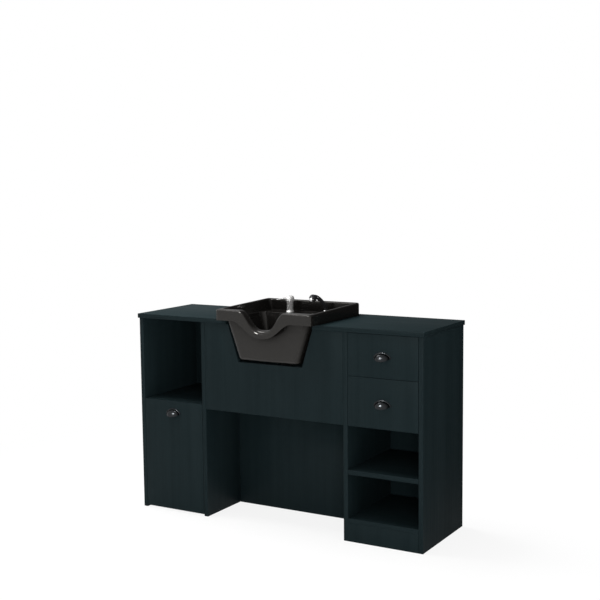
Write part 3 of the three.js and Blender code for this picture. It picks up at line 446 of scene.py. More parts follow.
def polished(name, color, roughness, metallic=1.0):
    """Plated metal: near mirror, with faint wiping marks and tiny water spots."""
    surface = Surface(name, color, roughness, metallic)
    upright = surface.stretched((1, 1, 0.3))
    wiped = surface.noise(60.0, detail=4.0, roughness=0.6, distortion=0.6, vector=upright)
    spots = surface.span(surface.noise(260.0, detail=2.0), 0, 0.6, start=0.62, end=0.72)
    mark = surface.weighted((wiped, 1.0), (spots, 0.4))
    surface.to("Roughness", surface.span(mark, roughness * 0.5, roughness * 2, start=0.3, end=0.8))
    dulled = surface.span(wiped, 0, 1, start=0.4, end=0.7)
    surface.to("Base Color", surface.blend(color, scaled(color, 0.86), dulled))
    surface.bump(surface.noise(900.0, detail=1.0), 0.004, 0.3)
    return surface.material


def plated_steel(name, color, roughness):
    """Zinc-plated sheet: soft spangle and fine rolling lines."""
    surface = Surface(name, color, roughness, metallic=1.0)
    spangle = surface.node("ShaderNodeTexVoronoi", Scale=120.0)
    surface.link(surface.place, spangle.inputs["Vector"])
    rolled = surface.stretched((1, 0.02, 1))
    lines = surface.noise(500.0, detail=3.0, roughness=0.6, vector=rolled)
    shine = surface.weighted((spangle.outputs["Distance"], 0.3), (lines, 0.5))
    gloss = surface.span(shine, roughness * 0.7, roughness * 1.4, start=0.1, end=0.6)
    surface.to("Roughness", gloss)
    dulled = surface.span(lines, 0, 1, start=0.35, end=0.65)
    surface.to("Base Color", surface.blend(color, scaled(color, 0.8), dulled))
    surface.bump(lines, 0.01, 0.4)
    return surface.material


DARK_SLATE = (0.0058, 0.0108, 0.0122)
LIGHT_SLATE = (0.0080, 0.0138, 0.0154)
DARK_GREY = (0.028, 0.032, 0.035)
LIGHT_GREY = (0.038, 0.043, 0.046)
SLATE_SPECULAR = 0.035
WARM_GLOSS = (1.0, 0.97, 0.93)
UPRIGHT = laminate("laminate_upright", "z", DARK_SLATE, LIGHT_SLATE, SLATE_SPECULAR)
LEVEL = laminate("laminate_level", "x", DARK_SLATE, LIGHT_SLATE, SLATE_SPECULAR)
DRAWER_BOARD = laminate("drawer_board", "y", DARK_GREY, LIGHT_GREY, 0.15)
# The bowl's reflections carry painted shade in its corners and under its edges.
BOWL_BLACK = moulded(
    "bowl_black", (0.0040, 0.0037, 0.0034), 0.13, 0.41, 0.010,
    painted_corner_shade=True, gloss_tint=WARM_GLOSS,
)
CHROME = polished("chrome", (0.88, 0.88, 0.88), 0.20)
SATIN_CHROME = polished("satin_chrome", (0.95, 0.94, 0.93), 0.22, metallic=0.75)
GUNMETAL = polished("gunmetal", (0.030, 0.032, 0.034), 0.19)
RUNNER_STEEL = plated_steel("runner_steel", (0.55, 0.56, 0.57), 0.38)
WASTE_BLACK = moulded("waste_black", (0.014, 0.014, 0.015), 0.38, 0.4, 0.03)
HANDLE_BLACK = moulded("handle_black", (0.012, 0.012, 0.013), 0.30, 0.5, 0.02)
HEAD_BLACK = moulded("head_black", (0.008, 0.008, 0.009), 0.16, 0.5, 0.012)
SOFT_BLACK = moulded("soft_black", (0.012, 0.012, 0.012), 0.6, 0.4, 0.03)


# Boards and runners

BOARD_EDGE = 0.9
DRAWER_BOX_EDGE = 0.5
STEEL_EDGE = 0.3
NUT_EDGE = 1.2
LEVEL_BOARDS = (
    "counter", "niche_floor", "left_floor", "drawer_deck", "bay_shelf", "bay_floor",
    "tilt_stop_rail", "bin_floor",
)
UPRIGHT_BOARDS = (
    "apron", "knee_panel", "left_outer_side", "left_inner_side", "left_back",
    "right_outer_side", "right_inner_side", "right_back", "base_front", "tilt_door",
    "bin_left_side", "bin_right_side", "bin_back", "upper_drawer_front", "lower_drawer_front",
)


def soften_node(name, material, width):
    """Keeps a frame node, with a material and softly bevelled edges."""
    obj = NODES[name]
    mesh = obj.data
    mesh.materials.clear()
    mesh.materials.append(material)
    mesh.polygons.foreach_set("use_smooth", [True] * len(mesh.polygons))
    weld = obj.modifiers.new("weld", "WELD")
    weld.merge_threshold = 0.01 * MM
    flat = obj.modifiers.new("flat_faces", "DECIMATE")
    flat.decimate_type = "DISSOLVE"
    flat.angle_limit = math.radians(1)
    bevel(obj, width)


for node_name in LEVEL_BOARDS:
    soften_node(node_name, LEVEL, BOARD_EDGE)
for node_name in UPRIGHT_BOARDS:
    soften_node(node_name, UPRIGHT, BOARD_EDGE)
for node_name in NODES:
    if node_name.endswith("_runner") or node_name.startswith("door_pivot_"):
        soften_node(node_name, RUNNER_STEEL, STEEL_EDGE)
    elif node_name.startswith(("upper_drawer_", "lower_drawer_")):
        if not node_name.endswith(("_front", "_pull")):
            soften_node(node_name, DRAWER_BOARD, DRAWER_BOX_EDGE)


# Cup pulls

PULL_WIDTH = 78.0
PULL_HEIGHT = 36.0
PULL_DEPTH = 25.0
PULL_SHEET = 2.2
PULL_FLANGE = 3.5
PULL_SMILE = 12.0
PULL_EDGE_ROLL = 0.8
PULL_FILLET = 0.7
PULL_SPLAY = 1.025
PULL_BEVEL = 0.5
PULL_ANGLE, PULL_BEVEL_ANGLE = 40, 50
PULL_FAN_STEPS, PULL_ARC_STEPS, PULL_ROLL_STEPS = 48, 26, 4


def cup_pull(node, body):
    """A quarter-round shell over an open finger gap, with a flat flange round its edge."""
    low, high = (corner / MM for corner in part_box(node))
    centre_x, back, base = (low.x + high.x) / 2, high.y, low.z
    dome = (PULL_WIDTH / 2 - PULL_FLANGE, PULL_DEPTH, PULL_HEIGHT - PULL_FLANGE)
    inner = tuple(size - PULL_SHEET for size in dome)
    near_rise = math.asin(PULL_SHEET / PULL_DEPTH)
    foot_rise = math.asin((PULL_SHEET + PULL_FILLET) / PULL_DEPTH)
    shares = [k / PULL_ARC_STEPS for k in range(PULL_ARC_STEPS + 1)]
    rings = []

    def lift(x, z):
        """The lower edge curves up towards the two ends, as on a pressed oval shell."""
        return PULL_SMILE * (2 * x / PULL_WIDTH) ** 2 * (1 - z / PULL_HEIGHT)

    for i in range(PULL_FAN_STEPS + 1):
        around = math.pi * i / PULL_FAN_STEPS
        cosine, sine = math.cos(around), math.sin(around)

        def on_dome(sizes, rise):
            level, depth = math.cos(rise), math.sin(rise)
            return (sizes[0] * cosine * level, -sizes[1] * depth, sizes[2] * sine * level)

        line = [on_dome(inner, QUARTER_TURN * (1 - share)) for share in shares]
        edge_x, edge_z = PULL_WIDTH / 2 * cosine, PULL_HEIGHT * sine
        line.append((edge_x, 0.0, edge_z))
        for k in range(1, PULL_ROLL_STEPS + 1):
            turn = QUARTER_TURN * k / PULL_ROLL_STEPS
            inset = PULL_EDGE_ROLL * (1 - math.cos(turn)) / (PULL_WIDTH / 2)
            depth = -PULL_SHEET + PULL_EDGE_ROLL * (1 - math.sin(turn))
            line.append((edge_x * (1 - inset), depth, edge_z * (1 - inset)))
        near = on_dome(dome, near_rise)
        line.append((near[0] * PULL_SPLAY, -PULL_SHEET, near[2] * PULL_SPLAY))
        line.extend(on_dome(dome, mix(foot_rise, QUARTER_TURN, share)) for share in shares)
        rings.append([(centre_x + x, back + y, base + z + lift(x, z)) for x, y, z in line])
    count = len(rings[0])
    points = [p for ring in rings for p in ring]
    faces = []
    for r in range(len(rings) - 1):
        for k in range(count - 1):
            a, b = r * count + k, (r + 1) * count + k
            faces.append((a, a + 1, b + 1, b))
    faces.append(tuple(range(count)))
    faces.append(tuple((len(rings) - 1) * count + k for k in range(count)))
    obj = mesh_object(f"{node}_shell", points, faces)
    shade(obj, PULL_ANGLE)
    bevel(obj, PULL_BEVEL, 2, PULL_BEVEL_ANGLE)
    dress(obj, GUNMETAL, body, "gunmetal", node)


cup_pull("door_pull", "door")
cup_pull("upper_drawer_pull", "upper_drawer")
cup_pull("lower_drawer_pull", "lower_drawer")


# Bowl

BOWL_WIDTH = 482.0
BOWL_LENGTH = 434.0
BOWL_OVERHANG = 51.0
BOWL_CORNER = 16.0
BOWL_WALL = 4.0
RIM_HEIGHT = 47.0
RIM_RISE = 8.0
RIM_SIDE = 18.0
RIM_FRONT = 37.0
EDGE_ROLL = 7.5
NECK_ROLL = 23.0
NECK_INNER_ROLL = 12.0
DIP_OFFSET = -7.0
DIP_DEPTH = 80.0
DIP_HALF_WIDTH = 112.0
DIP_FULLNESS = 1.4
SKIRT_DIP_DEPTH = 68.0
SKIRT_DIP_HALF_WIDTH = 145.0
SKIRT_DIP_FULLNESS = 1.28
BELLY_DEPTH = 175.0
BELLY_TOP_HALF = 211.0
BELLY_BOTTOM_HALF = 152.0
BELLY_CORNER = 30.0
BELLY_FRONT_DRAFT = 5.0
BELLY_REAR_DRAFT = 26.0
BELLY_FILLET = 19.0
LEDGE_LENGTH = 90.0
LEDGE_DROP = 43.0
LEDGE_SHOULDER = 3.0
BOWL_FRONT = -BOWL_OVERHANG
BOWL_BACK = BOWL_LENGTH - BOWL_OVERHANG
BASIN_FRONT = BOWL_FRONT + RIM_FRONT
LEDGE_LEVEL = RIM_HEIGHT - LEDGE_DROP
LEDGE_BACK = BOWL_BACK - RIM_SIDE
LEDGE_FRONT = LEDGE_BACK - LEDGE_LENGTH - BOWL_WALL
DRAIN_SHARE = 0.54
DRAIN_Y = mix(BASIN_FRONT, LEDGE_FRONT, DRAIN_SHARE)
DRAIN_BORE = 19.5
DRAIN_HOLE = 22.6
DRAIN_FLANGE = 35.6
FRONT_STEPS, CORNER_STEPS, SIDE_STEPS, REAR_STEPS = 64, 12, 26, 30
ROLL_STEPS, FILLET_STEPS = 9, 8
BOWL_BEVEL = 0.9
BOWL_ANGLE = 38


def outline(half, front, back, radius):
    """A rounded rectangle from the middle of its front, as rows of x, y, frontness, rearness."""
    flat = half - radius
    rows = []

    def run(steps, start, end, front_share, rear_at):
        for i in range(steps):
            t = i / steps
            x, y = mix(start[0], end[0], t), mix(start[1], end[1], t)
            rows.append((x, y, front_share, rear_at(t)))

    def corner(x, y, start, front_share, rear_share):
        for i in range(CORNER_STEPS):
            angle = start + QUARTER_TURN * i / CORNER_STEPS
            point = (x + radius * math.cos(angle), y + radius * math.sin(angle))
            rows.append((*point, front_share, rear_share))

    run(FRONT_STEPS, (0, front), (flat, front), 1, lambda t: 0)
    corner(flat, front + radius, -QUARTER_TURN, 1, 0)
    run(SIDE_STEPS, (half, front + radius), (half, back - radius), 0, smooth)
    corner(flat, back - radius, 0, 0, 1)
    run(REAR_STEPS, (flat, back), (-flat, back), 0, lambda t: 1)
    corner(-flat, back - radius, QUARTER_TURN, 0, 1)
    run(SIDE_STEPS, (-half, back - radius), (-half, front + radius), 0, lambda t: smooth(1 - t))
    corner(-flat, front + radius, math.pi, 1, 0)
    run(FRONT_STEPS, (-flat, front), (0, front), 1, lambda t: 0)
    return rows


def dip_share(row, half_width, fullness):
    """How far a place on the front is down in the dip, from none at its ends to one."""
    along = abs(row[0] - DIP_OFFSET) / half_width
    if not row[2] or along >= 1:
        return 0.0
    return (1 + math.cos(math.pi * along**fullness)) / 2


def dip(row):
    return dip_share(row, DIP_HALF_WIDTH, DIP_FULLNESS)


def crest(row):
    """The rim's height, which rises to the back and dips at the neck."""
    rise = RIM_RISE * (row[1] - BOWL_FRONT) / BOWL_LENGTH
    return RIM_HEIGHT + rise - DIP_DEPTH * dip(row)


def rim_rect(inset):
    """The rim's half width, front, back and corner radius, drawn in."""
    radius = max(BOWL_CORNER - inset, BOWL_CORNER / 3)
    return BOWL_WIDTH / 2 - inset, BOWL_FRONT + inset, BOWL_BACK - inset, radius


def inner_rect(grow):
    """The same four for the top of the basin's wall, let out."""
    return (
        BOWL_WIDTH / 2 - RIM_SIDE + grow,
        BASIN_FRONT - grow,
        LEDGE_BACK + grow,
        BOWL_CORNER + grow,
    )


def belly_rect(level, inset):
    """The same four for the belly, which tapers downwards."""
    down = -level / BELLY_DEPTH
    return (
        mix(BELLY_TOP_HALF, BELLY_BOTTOM_HALF, down) - inset,
        BASIN_FRONT - BOWL_WALL + BELLY_FRONT_DRAFT * down + inset,
        LEDGE_FRONT + BOWL_WALL - BELLY_REAR_DRAFT * down - inset,
        BELLY_CORNER - inset,
    )


def ledge_rect(inset):
    """The same four where the wall meets the tap ledge."""
    half, front, _, _ = belly_rect(0, inset - LEDGE_SHOULDER)
    return half, front, LEDGE_BACK - inset / 2, BOWL_CORNER - inset


def ring_of(rect, place):
    return [place(row) for row in outline(*rect)]


def rim_rings(wall):
    """Rings over the rim, from the skirt's foot to the top of the basin wall."""

    def foot(row):
        drop = SKIRT_DIP_DEPTH * dip_share(row, SKIRT_DIP_HALF_WIDTH, SKIRT_DIP_FULLNESS)
        return (row[0], row[1], -drop)

    rings = [ring_of(rim_rect(wall), foot)]
    for share in (0.25, 0.5, 0.75):

        def skirt(row, share=share):
            roll = mix(EDGE_ROLL, NECK_ROLL, dip(row)) - wall
            return (row[0], row[1], mix(foot(row)[2], crest(row) - wall - roll, share))

        rings.append(ring_of(rim_rect(wall), skirt))
    for i in range(ROLL_STEPS + 1):
        angle = QUARTER_TURN * i / ROLL_STEPS
        across = 1 - math.cos(angle)

        def outer(row, angle=angle, across=across):
            full = mix(EDGE_ROLL, NECK_ROLL, dip(row))
            extra = (full - EDGE_ROLL) * across
            level = crest(row) - wall - (full - wall) * (1 - math.sin(angle))
            return (row[0], row[1] + extra * row[2], level)

        rings.append(ring_of(rim_rect(wall + (EDGE_ROLL - wall) * across), outer))
    for i in range(ROLL_STEPS + 1):
        angle = QUARTER_TURN * i / ROLL_STEPS
        inward = math.sin(angle)

        def inner(row, angle=angle, inward=inward):
            full = mix(EDGE_ROLL, NECK_INNER_ROLL, dip(row))
            extra = (full - EDGE_ROLL) * (1 - inward)
            level = crest(row) - wall - (full - wall) * (1 - math.cos(angle))
            return (row[0], row[1] - extra * row[2], level)

        rings.append(ring_of(inner_rect((EDGE_ROLL - wall) * (1 - inward) + wall), inner))
    return rings


def basin_rings(wall):
    """Rings down the basin wall, past the tap ledge, over the floor and to the drain."""
    floor = -BELLY_DEPTH + BOWL_WALL - wall
    inset = BOWL_WALL - wall
    ledge = LEDGE_LEVEL - wall

    def sunk(row, level):
        share = (RIM_HEIGHT - level) / (RIM_HEIGHT - floor)
        return mix(crest(row) - wall, floor, share)

    def on_ledge(level):
        return lambda row: (row[0], row[1], mix(sunk(row, level), ledge, row[3]))

    def on_wall(level):
        return lambda row: (row[0], row[1], sunk(row, level))

    fillet = BELLY_FILLET - inset
    low = floor + fillet
    rings = [
        ring_of(ledge_rect(inset), on_ledge(LEDGE_LEVEL)),
        ring_of(belly_rect(0, inset), on_ledge(LEDGE_LEVEL - BOWL_WALL)),
    ]
    for share in (0.2, 0.4, 0.6, 0.8):
        level = mix(0.0, low, share)
        rings.append(ring_of(belly_rect(level, inset), on_wall(level)))
    for i in range(FILLET_STEPS):
        angle = QUARTER_TURN * i / FILLET_STEPS
        rect = belly_rect(low, inset + fillet * (1 - math.cos(angle)))
        rings.append(ring_of(rect, on_wall(low - fillet * math.sin(angle))))
    edge = ring_of(belly_rect(low, inset + fillet), lambda row: (row[0], row[1], floor))
    rings.append(edge)
    for radius in (DRAIN_FLANGE + BOWL_WALL, DRAIN_HOLE):
        ring = []
        for x, y, _ in edge:
            angle = math.atan2(y - DRAIN_Y, x)
            ring.append((radius * math.cos(angle), DRAIN_Y + radius * math.sin(angle), floor))
        rings.append(ring)
    return rings


def bowl():
    """One closed skin, over the rim to the drain and back one wall below."""
    above = rim_rings(0.0) + basin_rings(0.0)
    below = (rim_rings(BOWL_WALL) + basin_rings(BOWL_WALL))[::-1]
    rings = [[(BOWL_X + x, BOWL_Y + y, BOWL_Z + z) for x, y, z in ring] for ring in above + below]
    obj = mesh_object("bowl_skin", *loft(rings, looped=True))
    shade(obj, BOWL_ANGLE)
    bevel(obj, BOWL_BEVEL, 3, BOWL_ANGLE)
    dress(obj, BOWL_BLACK, "cabinet", "bowl", "bowl_shell")


bowl()


# Drain and waste

PIPE_RADIUS = 19.0
PIPE_WALL = 1.8
PIPE_BORE = PIPE_RADIUS - PIPE_WALL
BASIN_FLOOR = BOWL_WALL - BELLY_DEPTH
DRAIN_SEAT = BASIN_FLOOR + JOINT_GAP
DRAIN_TOP = DRAIN_SEAT + 4.0
DRAIN_SINK = 2.0
DRAIN_NECK = DRAIN_BORE + 2.2
RECESS = DRAIN_BORE + 6.0
THREAD_FOOT = -BELLY_DEPTH - 42.0
THREAD_PITCH = 2.2
THREAD_DEPTH = 0.8
KNOB_RADIUS = 4.0
STRAINER_HOLES = 8
HOLE_RADIUS = 2.2
TRAP_HEIGHT = 595.0
SOCKET_TOP = TRAP_HEIGHT - BOWL_Z
SOCKET_OUTER = 21.3
SOCKET_DEPTH = 22.0
TRAP_REACH = 80.0
TRAP_NECK = 15.0
ARM_RISE = 5.0
ARM_TURN = 36.0
BACK_EDGE = 233.4
NUT_RADIUS = 23.2
NUT_HEIGHT = 16.0
NUT_ROWS = ((-NUT_HEIGHT, 0.0), (-15.2, 0.8), (-3.0, 0.8), (-1.2, 0.3), (0.0, 0.0))
NUT_ANGLE = 40
NUT_SIDES = 96
NUT_GRIPS = 12
GRIP_HEIGHT = 1.2


def threads(radius, low, high, pitch, depth):
    """A profile of thread ridges up the outside of a tube, from a low end to a high one."""
    turns = int((high - low) / pitch)
    line = []
    for i in range(turns):
        foot = low + i * pitch
        line.append((radius - depth, foot))
        line.extend([(radius, foot + pitch * 0.4), (radius, foot + pitch * 0.6)])
    line.append((radius - depth, low + turns * pitch))
    return line


def drain_flange():
    """A threaded tail below the basin floor, and the polished ring that is seen from above."""
    place = at(0, DRAIN_Y, 0)
    profile = [(DRAIN_BORE, THREAD_FOOT), (DRAIN_NECK - THREAD_DEPTH, THREAD_FOOT)]
    profile += threads(
        DRAIN_NECK, THREAD_FOOT + 1.0, -BELLY_DEPTH - 0.5, THREAD_PITCH, THREAD_DEPTH
    )
    profile += [(DRAIN_NECK, DRAIN_SEAT), (DRAIN_BORE, DRAIN_SEAT), (DRAIN_BORE, THREAD_FOOT)]
    tail = turned("drain_tail", profile, place)
    dress(tail, WASTE_BLACK, "cabinet", "waste_plastic", "drain_flange")
    lip = [
        (DRAIN_BORE, DRAIN_SEAT), (DRAIN_FLANGE, DRAIN_SEAT), (DRAIN_FLANGE, DRAIN_SEAT + 1.3),
        (DRAIN_FLANGE - 2, DRAIN_TOP), (RECESS, DRAIN_TOP), (RECESS, DRAIN_TOP - DRAIN_SINK),
        (DRAIN_BORE, DRAIN_TOP - DRAIN_SINK), (DRAIN_BORE, DRAIN_SEAT),
    ]
    ring = turned("drain_ring", rounded(lip, [0, 0.4, 0.9, 1.6, 0.6, 0.3, 0.4, 0]), place)
    dress(ring, CHROME, "cabinet", "chrome", "drain_flange")


def strainer():
    """A shallow dish with a ring of round holes and a knob to lift it by."""
    rim = RECESS - JOINT_GAP
    base = DRAIN_TOP - DRAIN_SINK + JOINT_GAP
    profile = [
        (0, base), (rim, base), (rim, DRAIN_TOP), (rim - 2, DRAIN_TOP),
        (2 * KNOB_RADIUS, DRAIN_TOP - 1), (KNOB_RADIUS, DRAIN_TOP + KNOB_RADIUS / 2),
        (KNOB_RADIUS, DRAIN_TOP + KNOB_RADIUS), (0, DRAIN_TOP + 1.25 * KNOB_RADIUS),
    ]
    line = rounded(profile, [0, 0.3, 0.8, 1.5, 4, 1.5, 1.6, 0])
    dish = turned("strainer_dish", line, at(0, DRAIN_Y, 0))
    ring = mix(KNOB_RADIUS, rim, 0.55)
    drill = [(0, 0), (HOLE_RADIUS, 0), (HOLE_RADIUS, 12), (0, 12)]
    drills = []
    for i in range(STRAINER_HOLES):
        around = 2 * math.pi / STRAINER_HOLES * i
        place = at(ring * math.cos(around), DRAIN_Y + ring * math.sin(around), base - 4)
        drills.append(turned("drill", drill, place, 20))
    fuse(dish, *drills, operation="DIFFERENCE")
    dress(dish, CHROME, "strainer", "chrome", "hair_strainer")


def union_nut(name, x):
    """A moulded hand nut: a sleeve with raised grips round it."""
    around = [2 * math.pi * i / NUT_SIDES for i in range(NUT_SIDES)]
    rings = []
    for z, swell in NUT_ROWS:
        ring = []
        for angle in around:
            grip = GRIP_HEIGHT * max(0.0, math.cos(NUT_GRIPS * angle)) ** 0.6
            r = NUT_RADIUS + swell + grip * (1 if swell else 0.2)
            ring.append((r * math.cos(angle), r * math.sin(angle), z))
        rings.append(ring)
    inside = SOCKET_OUTER - 0.4
    for z in (0.0, -NUT_HEIGHT):
        rings.append([(inside * math.cos(a), inside * math.sin(a), z) for a in around])
    nut = mesh_object(name, *loft(rings, looped=True), at(x, DRAIN_Y, SOCKET_TOP))
    shade(nut, NUT_ANGLE)
    return nut


def waste_pipes():
    """Tailpiece, trap with two union nuts, and the arm back to the wall."""

    def waste(piece, node):
        dress(piece, WASTE_BLACK, "cabinet", "waste_plastic", node)

    top, bottom = THREAD_FOOT + SOCKET_DEPTH, SOCKET_TOP - SOCKET_DEPTH
    tube = [
        (PIPE_BORE, bottom), (PIPE_RADIUS, bottom), (PIPE_RADIUS, top), (PIPE_BORE, top),
        (PIPE_BORE, bottom),
    ]
    line = rounded(tube, [0, 0.5, 0.5, 0.5, 0])
    waste(turned("tail_tube", line, at(0, DRAIN_Y, 0)), "tailpiece")

    radius = TRAP_REACH / 2
    bend = [(0, 0, 0), (0, 0, -TRAP_NECK)]
    for a in np.linspace(0, math.pi, 33):
        bend.append((radius * (1 - math.cos(a)), 0, -2 * TRAP_NECK - radius * math.sin(a)))
    bend += [(TRAP_REACH, 0, -TRAP_NECK), (TRAP_REACH, 0, 0)]
    place = at(0, DRAIN_Y, SOCKET_TOP)
    trap = swept("trap_body", bend, lambda t: SOCKET_OUTER, place, PIPE_RADIUS + 0.5)
    waste(trap, "trap_bend")
    waste(union_nut("trap_nut_left", 0.0), "trap_bend")
    waste(union_nut("trap_nut_right", TRAP_REACH), "trap_bend")

    level = SOCKET_TOP + ARM_RISE
    arm = [(0, 0, bottom), (0, 0, level)]
    for a in np.linspace(0.08, QUARTER_TURN, 18):
        arm.append((0, ARM_TURN * (1 - math.cos(a)), level + ARM_TURN * math.sin(a)))
    arm.append((0, MIDDLE_Y + BACK_EDGE - DRAIN_Y, level + ARM_TURN))
    place = at(TRAP_REACH, DRAIN_Y, 0)
    waste(swept("trap_outlet", arm, lambda t: PIPE_RADIUS, place, PIPE_BORE), "trap_arm")


drain_flange()
strainer()
waste_pipes()
soften_node("drain_lock_nut", WASTE_BLACK, NUT_EDGE)


# Mixer tap

TAP_SPREAD = 85.0
TAP_SETBACK = 43.0
TAP_Y = LEDGE_BACK - TAP_SETBACK
SEAT = LEDGE_LEVEL + JOINT_GAP
TAP_SIDES = 96
TAP_SHANK = 8.0
TAP_SHANK_FOOT = -46.0
TAP_WAIST = 14.5
TAP_CROWN = 8.0
SHANK_PITCH = 1.5
SHANK_THREAD = 0.6
BALL_RADIUS = 16.5
BALL_LEVEL = 52.0
HOOD_INNER = BALL_RADIUS + 0.5
HOOD_OUTER = HOOD_INNER + 2.6
HOOD_SKIRT = 2.0
LEVER_TURN = 0.64
BLADE_LENGTH = 62.0
BLADE_RISE = 13.0
BLADE_DROOP = 8.0
BLADE_WIDTHS = (13.0, 10.0)
BLADE_THICKNESSES = (5.0, 3.0)
BLADE_TIP = 0.12
BLADE_SQUARENESS = 0.7
BLADE_STEPS, BLADE_SIDES = 30, 36
TAP_PLACE = at(-TAP_SPREAD, TAP_Y, SEAT)


def tap_body():
    """A threaded shank, a stepped foot, and the ball that carries the hood, cut level on top."""
    profile = [(0, TAP_SHANK_FOOT), (7.2, TAP_SHANK_FOOT)]
    profile += threads(TAP_SHANK, TAP_SHANK_FOOT + 0.5, -6.0, SHANK_PITCH, SHANK_THREAD)
    foot = [
        (TAP_SHANK, -2), (TAP_SHANK, 0), (18.5, 0), (18.5, 1.7), (16.5, 4.2),
        (TAP_WAIST, 5.2), (TAP_WAIST, 8),
    ]
    profile += rounded(foot, [0, 0.2, 0.3, 1.2, 1.5, 2.0, 0])
    waist = -math.acos(TAP_WAIST / BALL_RADIUS)
    crown = math.asin(TAP_CROWN / BALL_RADIUS)
    profile += arc(BALL_RADIUS, BALL_LEVEL, waist, crown, 16)
    profile.append((0, BALL_LEVEL + TAP_CROWN))
    body = turned("tap_column", profile, TAP_PLACE, TAP_SIDES)
    dress(body, SATIN_CHROME, "cabinet", "chrome", "tap_body")


def tap_cartridge():
    """The top of the ball, which turns with the lever."""
    cap = TAP_CROWN + JOINT_GAP
    rim = math.asin(cap / BALL_RADIUS)
    profile = [(0, BALL_LEVEL + cap)] + arc(BALL_RADIUS, BALL_LEVEL, rim, QUARTER_TURN, 14)[:-1]
    profile.append((0, BALL_LEVEL + BALL_RADIUS))
    cartridge = turned("tap_ball", profile, TAP_PLACE, TAP_SIDES)
    dress(cartridge, RUNNER_STEEL, "tap_cartridge", "runner_steel", "tap_cartridge")


def rounded_sign(value, power):
    """A cosine or sine pushed towards its limits, for a squarer round."""
    return math.copysign(abs(value) ** power, value)


def tap_lever():
    """A domed hood over the ball, with a slim blade that leaves it level and droops to its tip."""
    place = at(-TAP_SPREAD, TAP_Y, SEAT + BALL_LEVEL) @ Matrix.Rotation(LEVER_TURN, 4, "Z")
    mouth = -math.asin(HOOD_SKIRT / HOOD_INNER)
    inside = arc(HOOD_INNER, 0, mouth, QUARTER_TURN, 20)[::-1]
    inside[0] = (0, HOOD_INNER)
    outside = [
        (HOOD_OUTER, -HOOD_SKIRT), (HOOD_OUTER, 9.8), (17.64, 16.66), (12.15, 20.58), (0, 21.56),
    ]
    profile = inside + rounded(outside, [0, 6, 6, 8, 0], steps=8)
    hood = turned("tap_hood", profile, place, TAP_SIDES)
    rings = []
    for i in range(BLADE_STEPS + 1):
        t = i / BLADE_STEPS
        x = -mix((HOOD_INNER + HOOD_OUTER) / 2, BLADE_LENGTH, t)
        z = BLADE_RISE - BLADE_DROOP * math.sin(QUARTER_TURN * t)
        past = max(0.0, (t - (1 - BLADE_TIP)) / BLADE_TIP)
        tip = math.sqrt(max(0.0, 1 - past**2))
        width = mix(*BLADE_WIDTHS, t) * max(tip, 0.12)
        thick = mix(*BLADE_THICKNESSES, t) * max(tip, 0.2)
        ring = []
        for k in range(BLADE_SIDES):
            around = 2 * math.pi * k / BLADE_SIDES
            across = rounded_sign(math.cos(around), BLADE_SQUARENESS)
            up = rounded_sign(math.sin(around), BLADE_SQUARENESS)
            ring.append((x, -width / 2 * across, z + thick / 2 * up))
        rings.append(ring)
    blade = mesh_object("blade", *loft(rings), place)
    fuse(hood, blade)
    dress(hood, SATIN_CHROME, "tap_lever", "chrome", "tap_lever")


tap_body()
tap_cartridge()
tap_lever()


# Hand sprayer

SPRAYER_SPREAD = 95.0
SPRAYER_SETBACK = 31.0
SPRAYER_YAW = 1.07
HEAD_TILT = 1.2
HEAD_DROP = 11.0
SPRAYER_PLACE = at(SPRAYER_SPREAD, LEDGE_BACK - SPRAYER_SETBACK, SEAT)
SPRAYER_TURN = SPRAYER_PLACE @ Matrix.Rotation(SPRAYER_YAW, 4, "Z")
SPRAYER_SIDES = 80
GUIDE_BORE = 9.9
GUIDE_THREAD = 11.5
GUIDE_FOOT = -30.0
HANDLE_RADIUS = 9.3
HANDLE_SLIMMING = 0.7
HANDLE_END_RADIUS = 8.6
HANDLE_STRAIGHT = (-44, -43, -30, -10, 6)
HANDLE_ARCH_STEPS = 36
SPRAY_REACH = 66.0
SPRAY_LEVEL = 78.0
HANDLE_ARCH = (
    (0, 0, 16), (0, 0, 34), (-0.6 * SPRAY_REACH, 0, 84), (-SPRAY_REACH, 0, SPRAY_LEVEL),
)
HEAD_TURN = (
    SPRAYER_TURN
    @ Matrix.Translation((-SPRAY_REACH, 0, SPRAY_LEVEL))
    @ Matrix.Rotation(-QUARTER_TURN - HEAD_TILT, 4, "Y")
    @ Matrix.Translation((0, 0, -HEAD_DROP))
)
DOME_RADIUS = 17.1
DOME_HEIGHT = 16.8
DOME_START = 0.2
FACE_LEVEL = 33.5
NUB_RINGS = ((6, 3.1), (12, 6.2))
BUTTON_PLACE = (-44.8, -7.6, 75)


def sprayer_guide():
    """A threaded sleeve with a stepped collar on the bowl's ledge."""
    profile = [(GUIDE_BORE, GUIDE_FOOT), (10.9, GUIDE_FOOT)]
    profile += threads(GUIDE_THREAD, GUIDE_FOOT + 0.5, -7.0, SHANK_PITCH, SHANK_THREAD)
    collar = [
        (GUIDE_THREAD, -1), (GUIDE_THREAD, 0), (16, 0), (16, 3), (13, 6), (13, 12.5),
        (GUIDE_THREAD, 14), (GUIDE_BORE, 14),
    ]
    profile += rounded(collar, [0, 0.2, 0.4, 1.2, 1.2, 1.0, 0.5, 0])
    profile.append((GUIDE_BORE, GUIDE_FOOT))
    guide = turned("sprayer_collar", profile, SPRAYER_PLACE, SPRAYER_SIDES)
    dress(guide, CHROME, "cabinet", "chrome", "sprayer_guide")


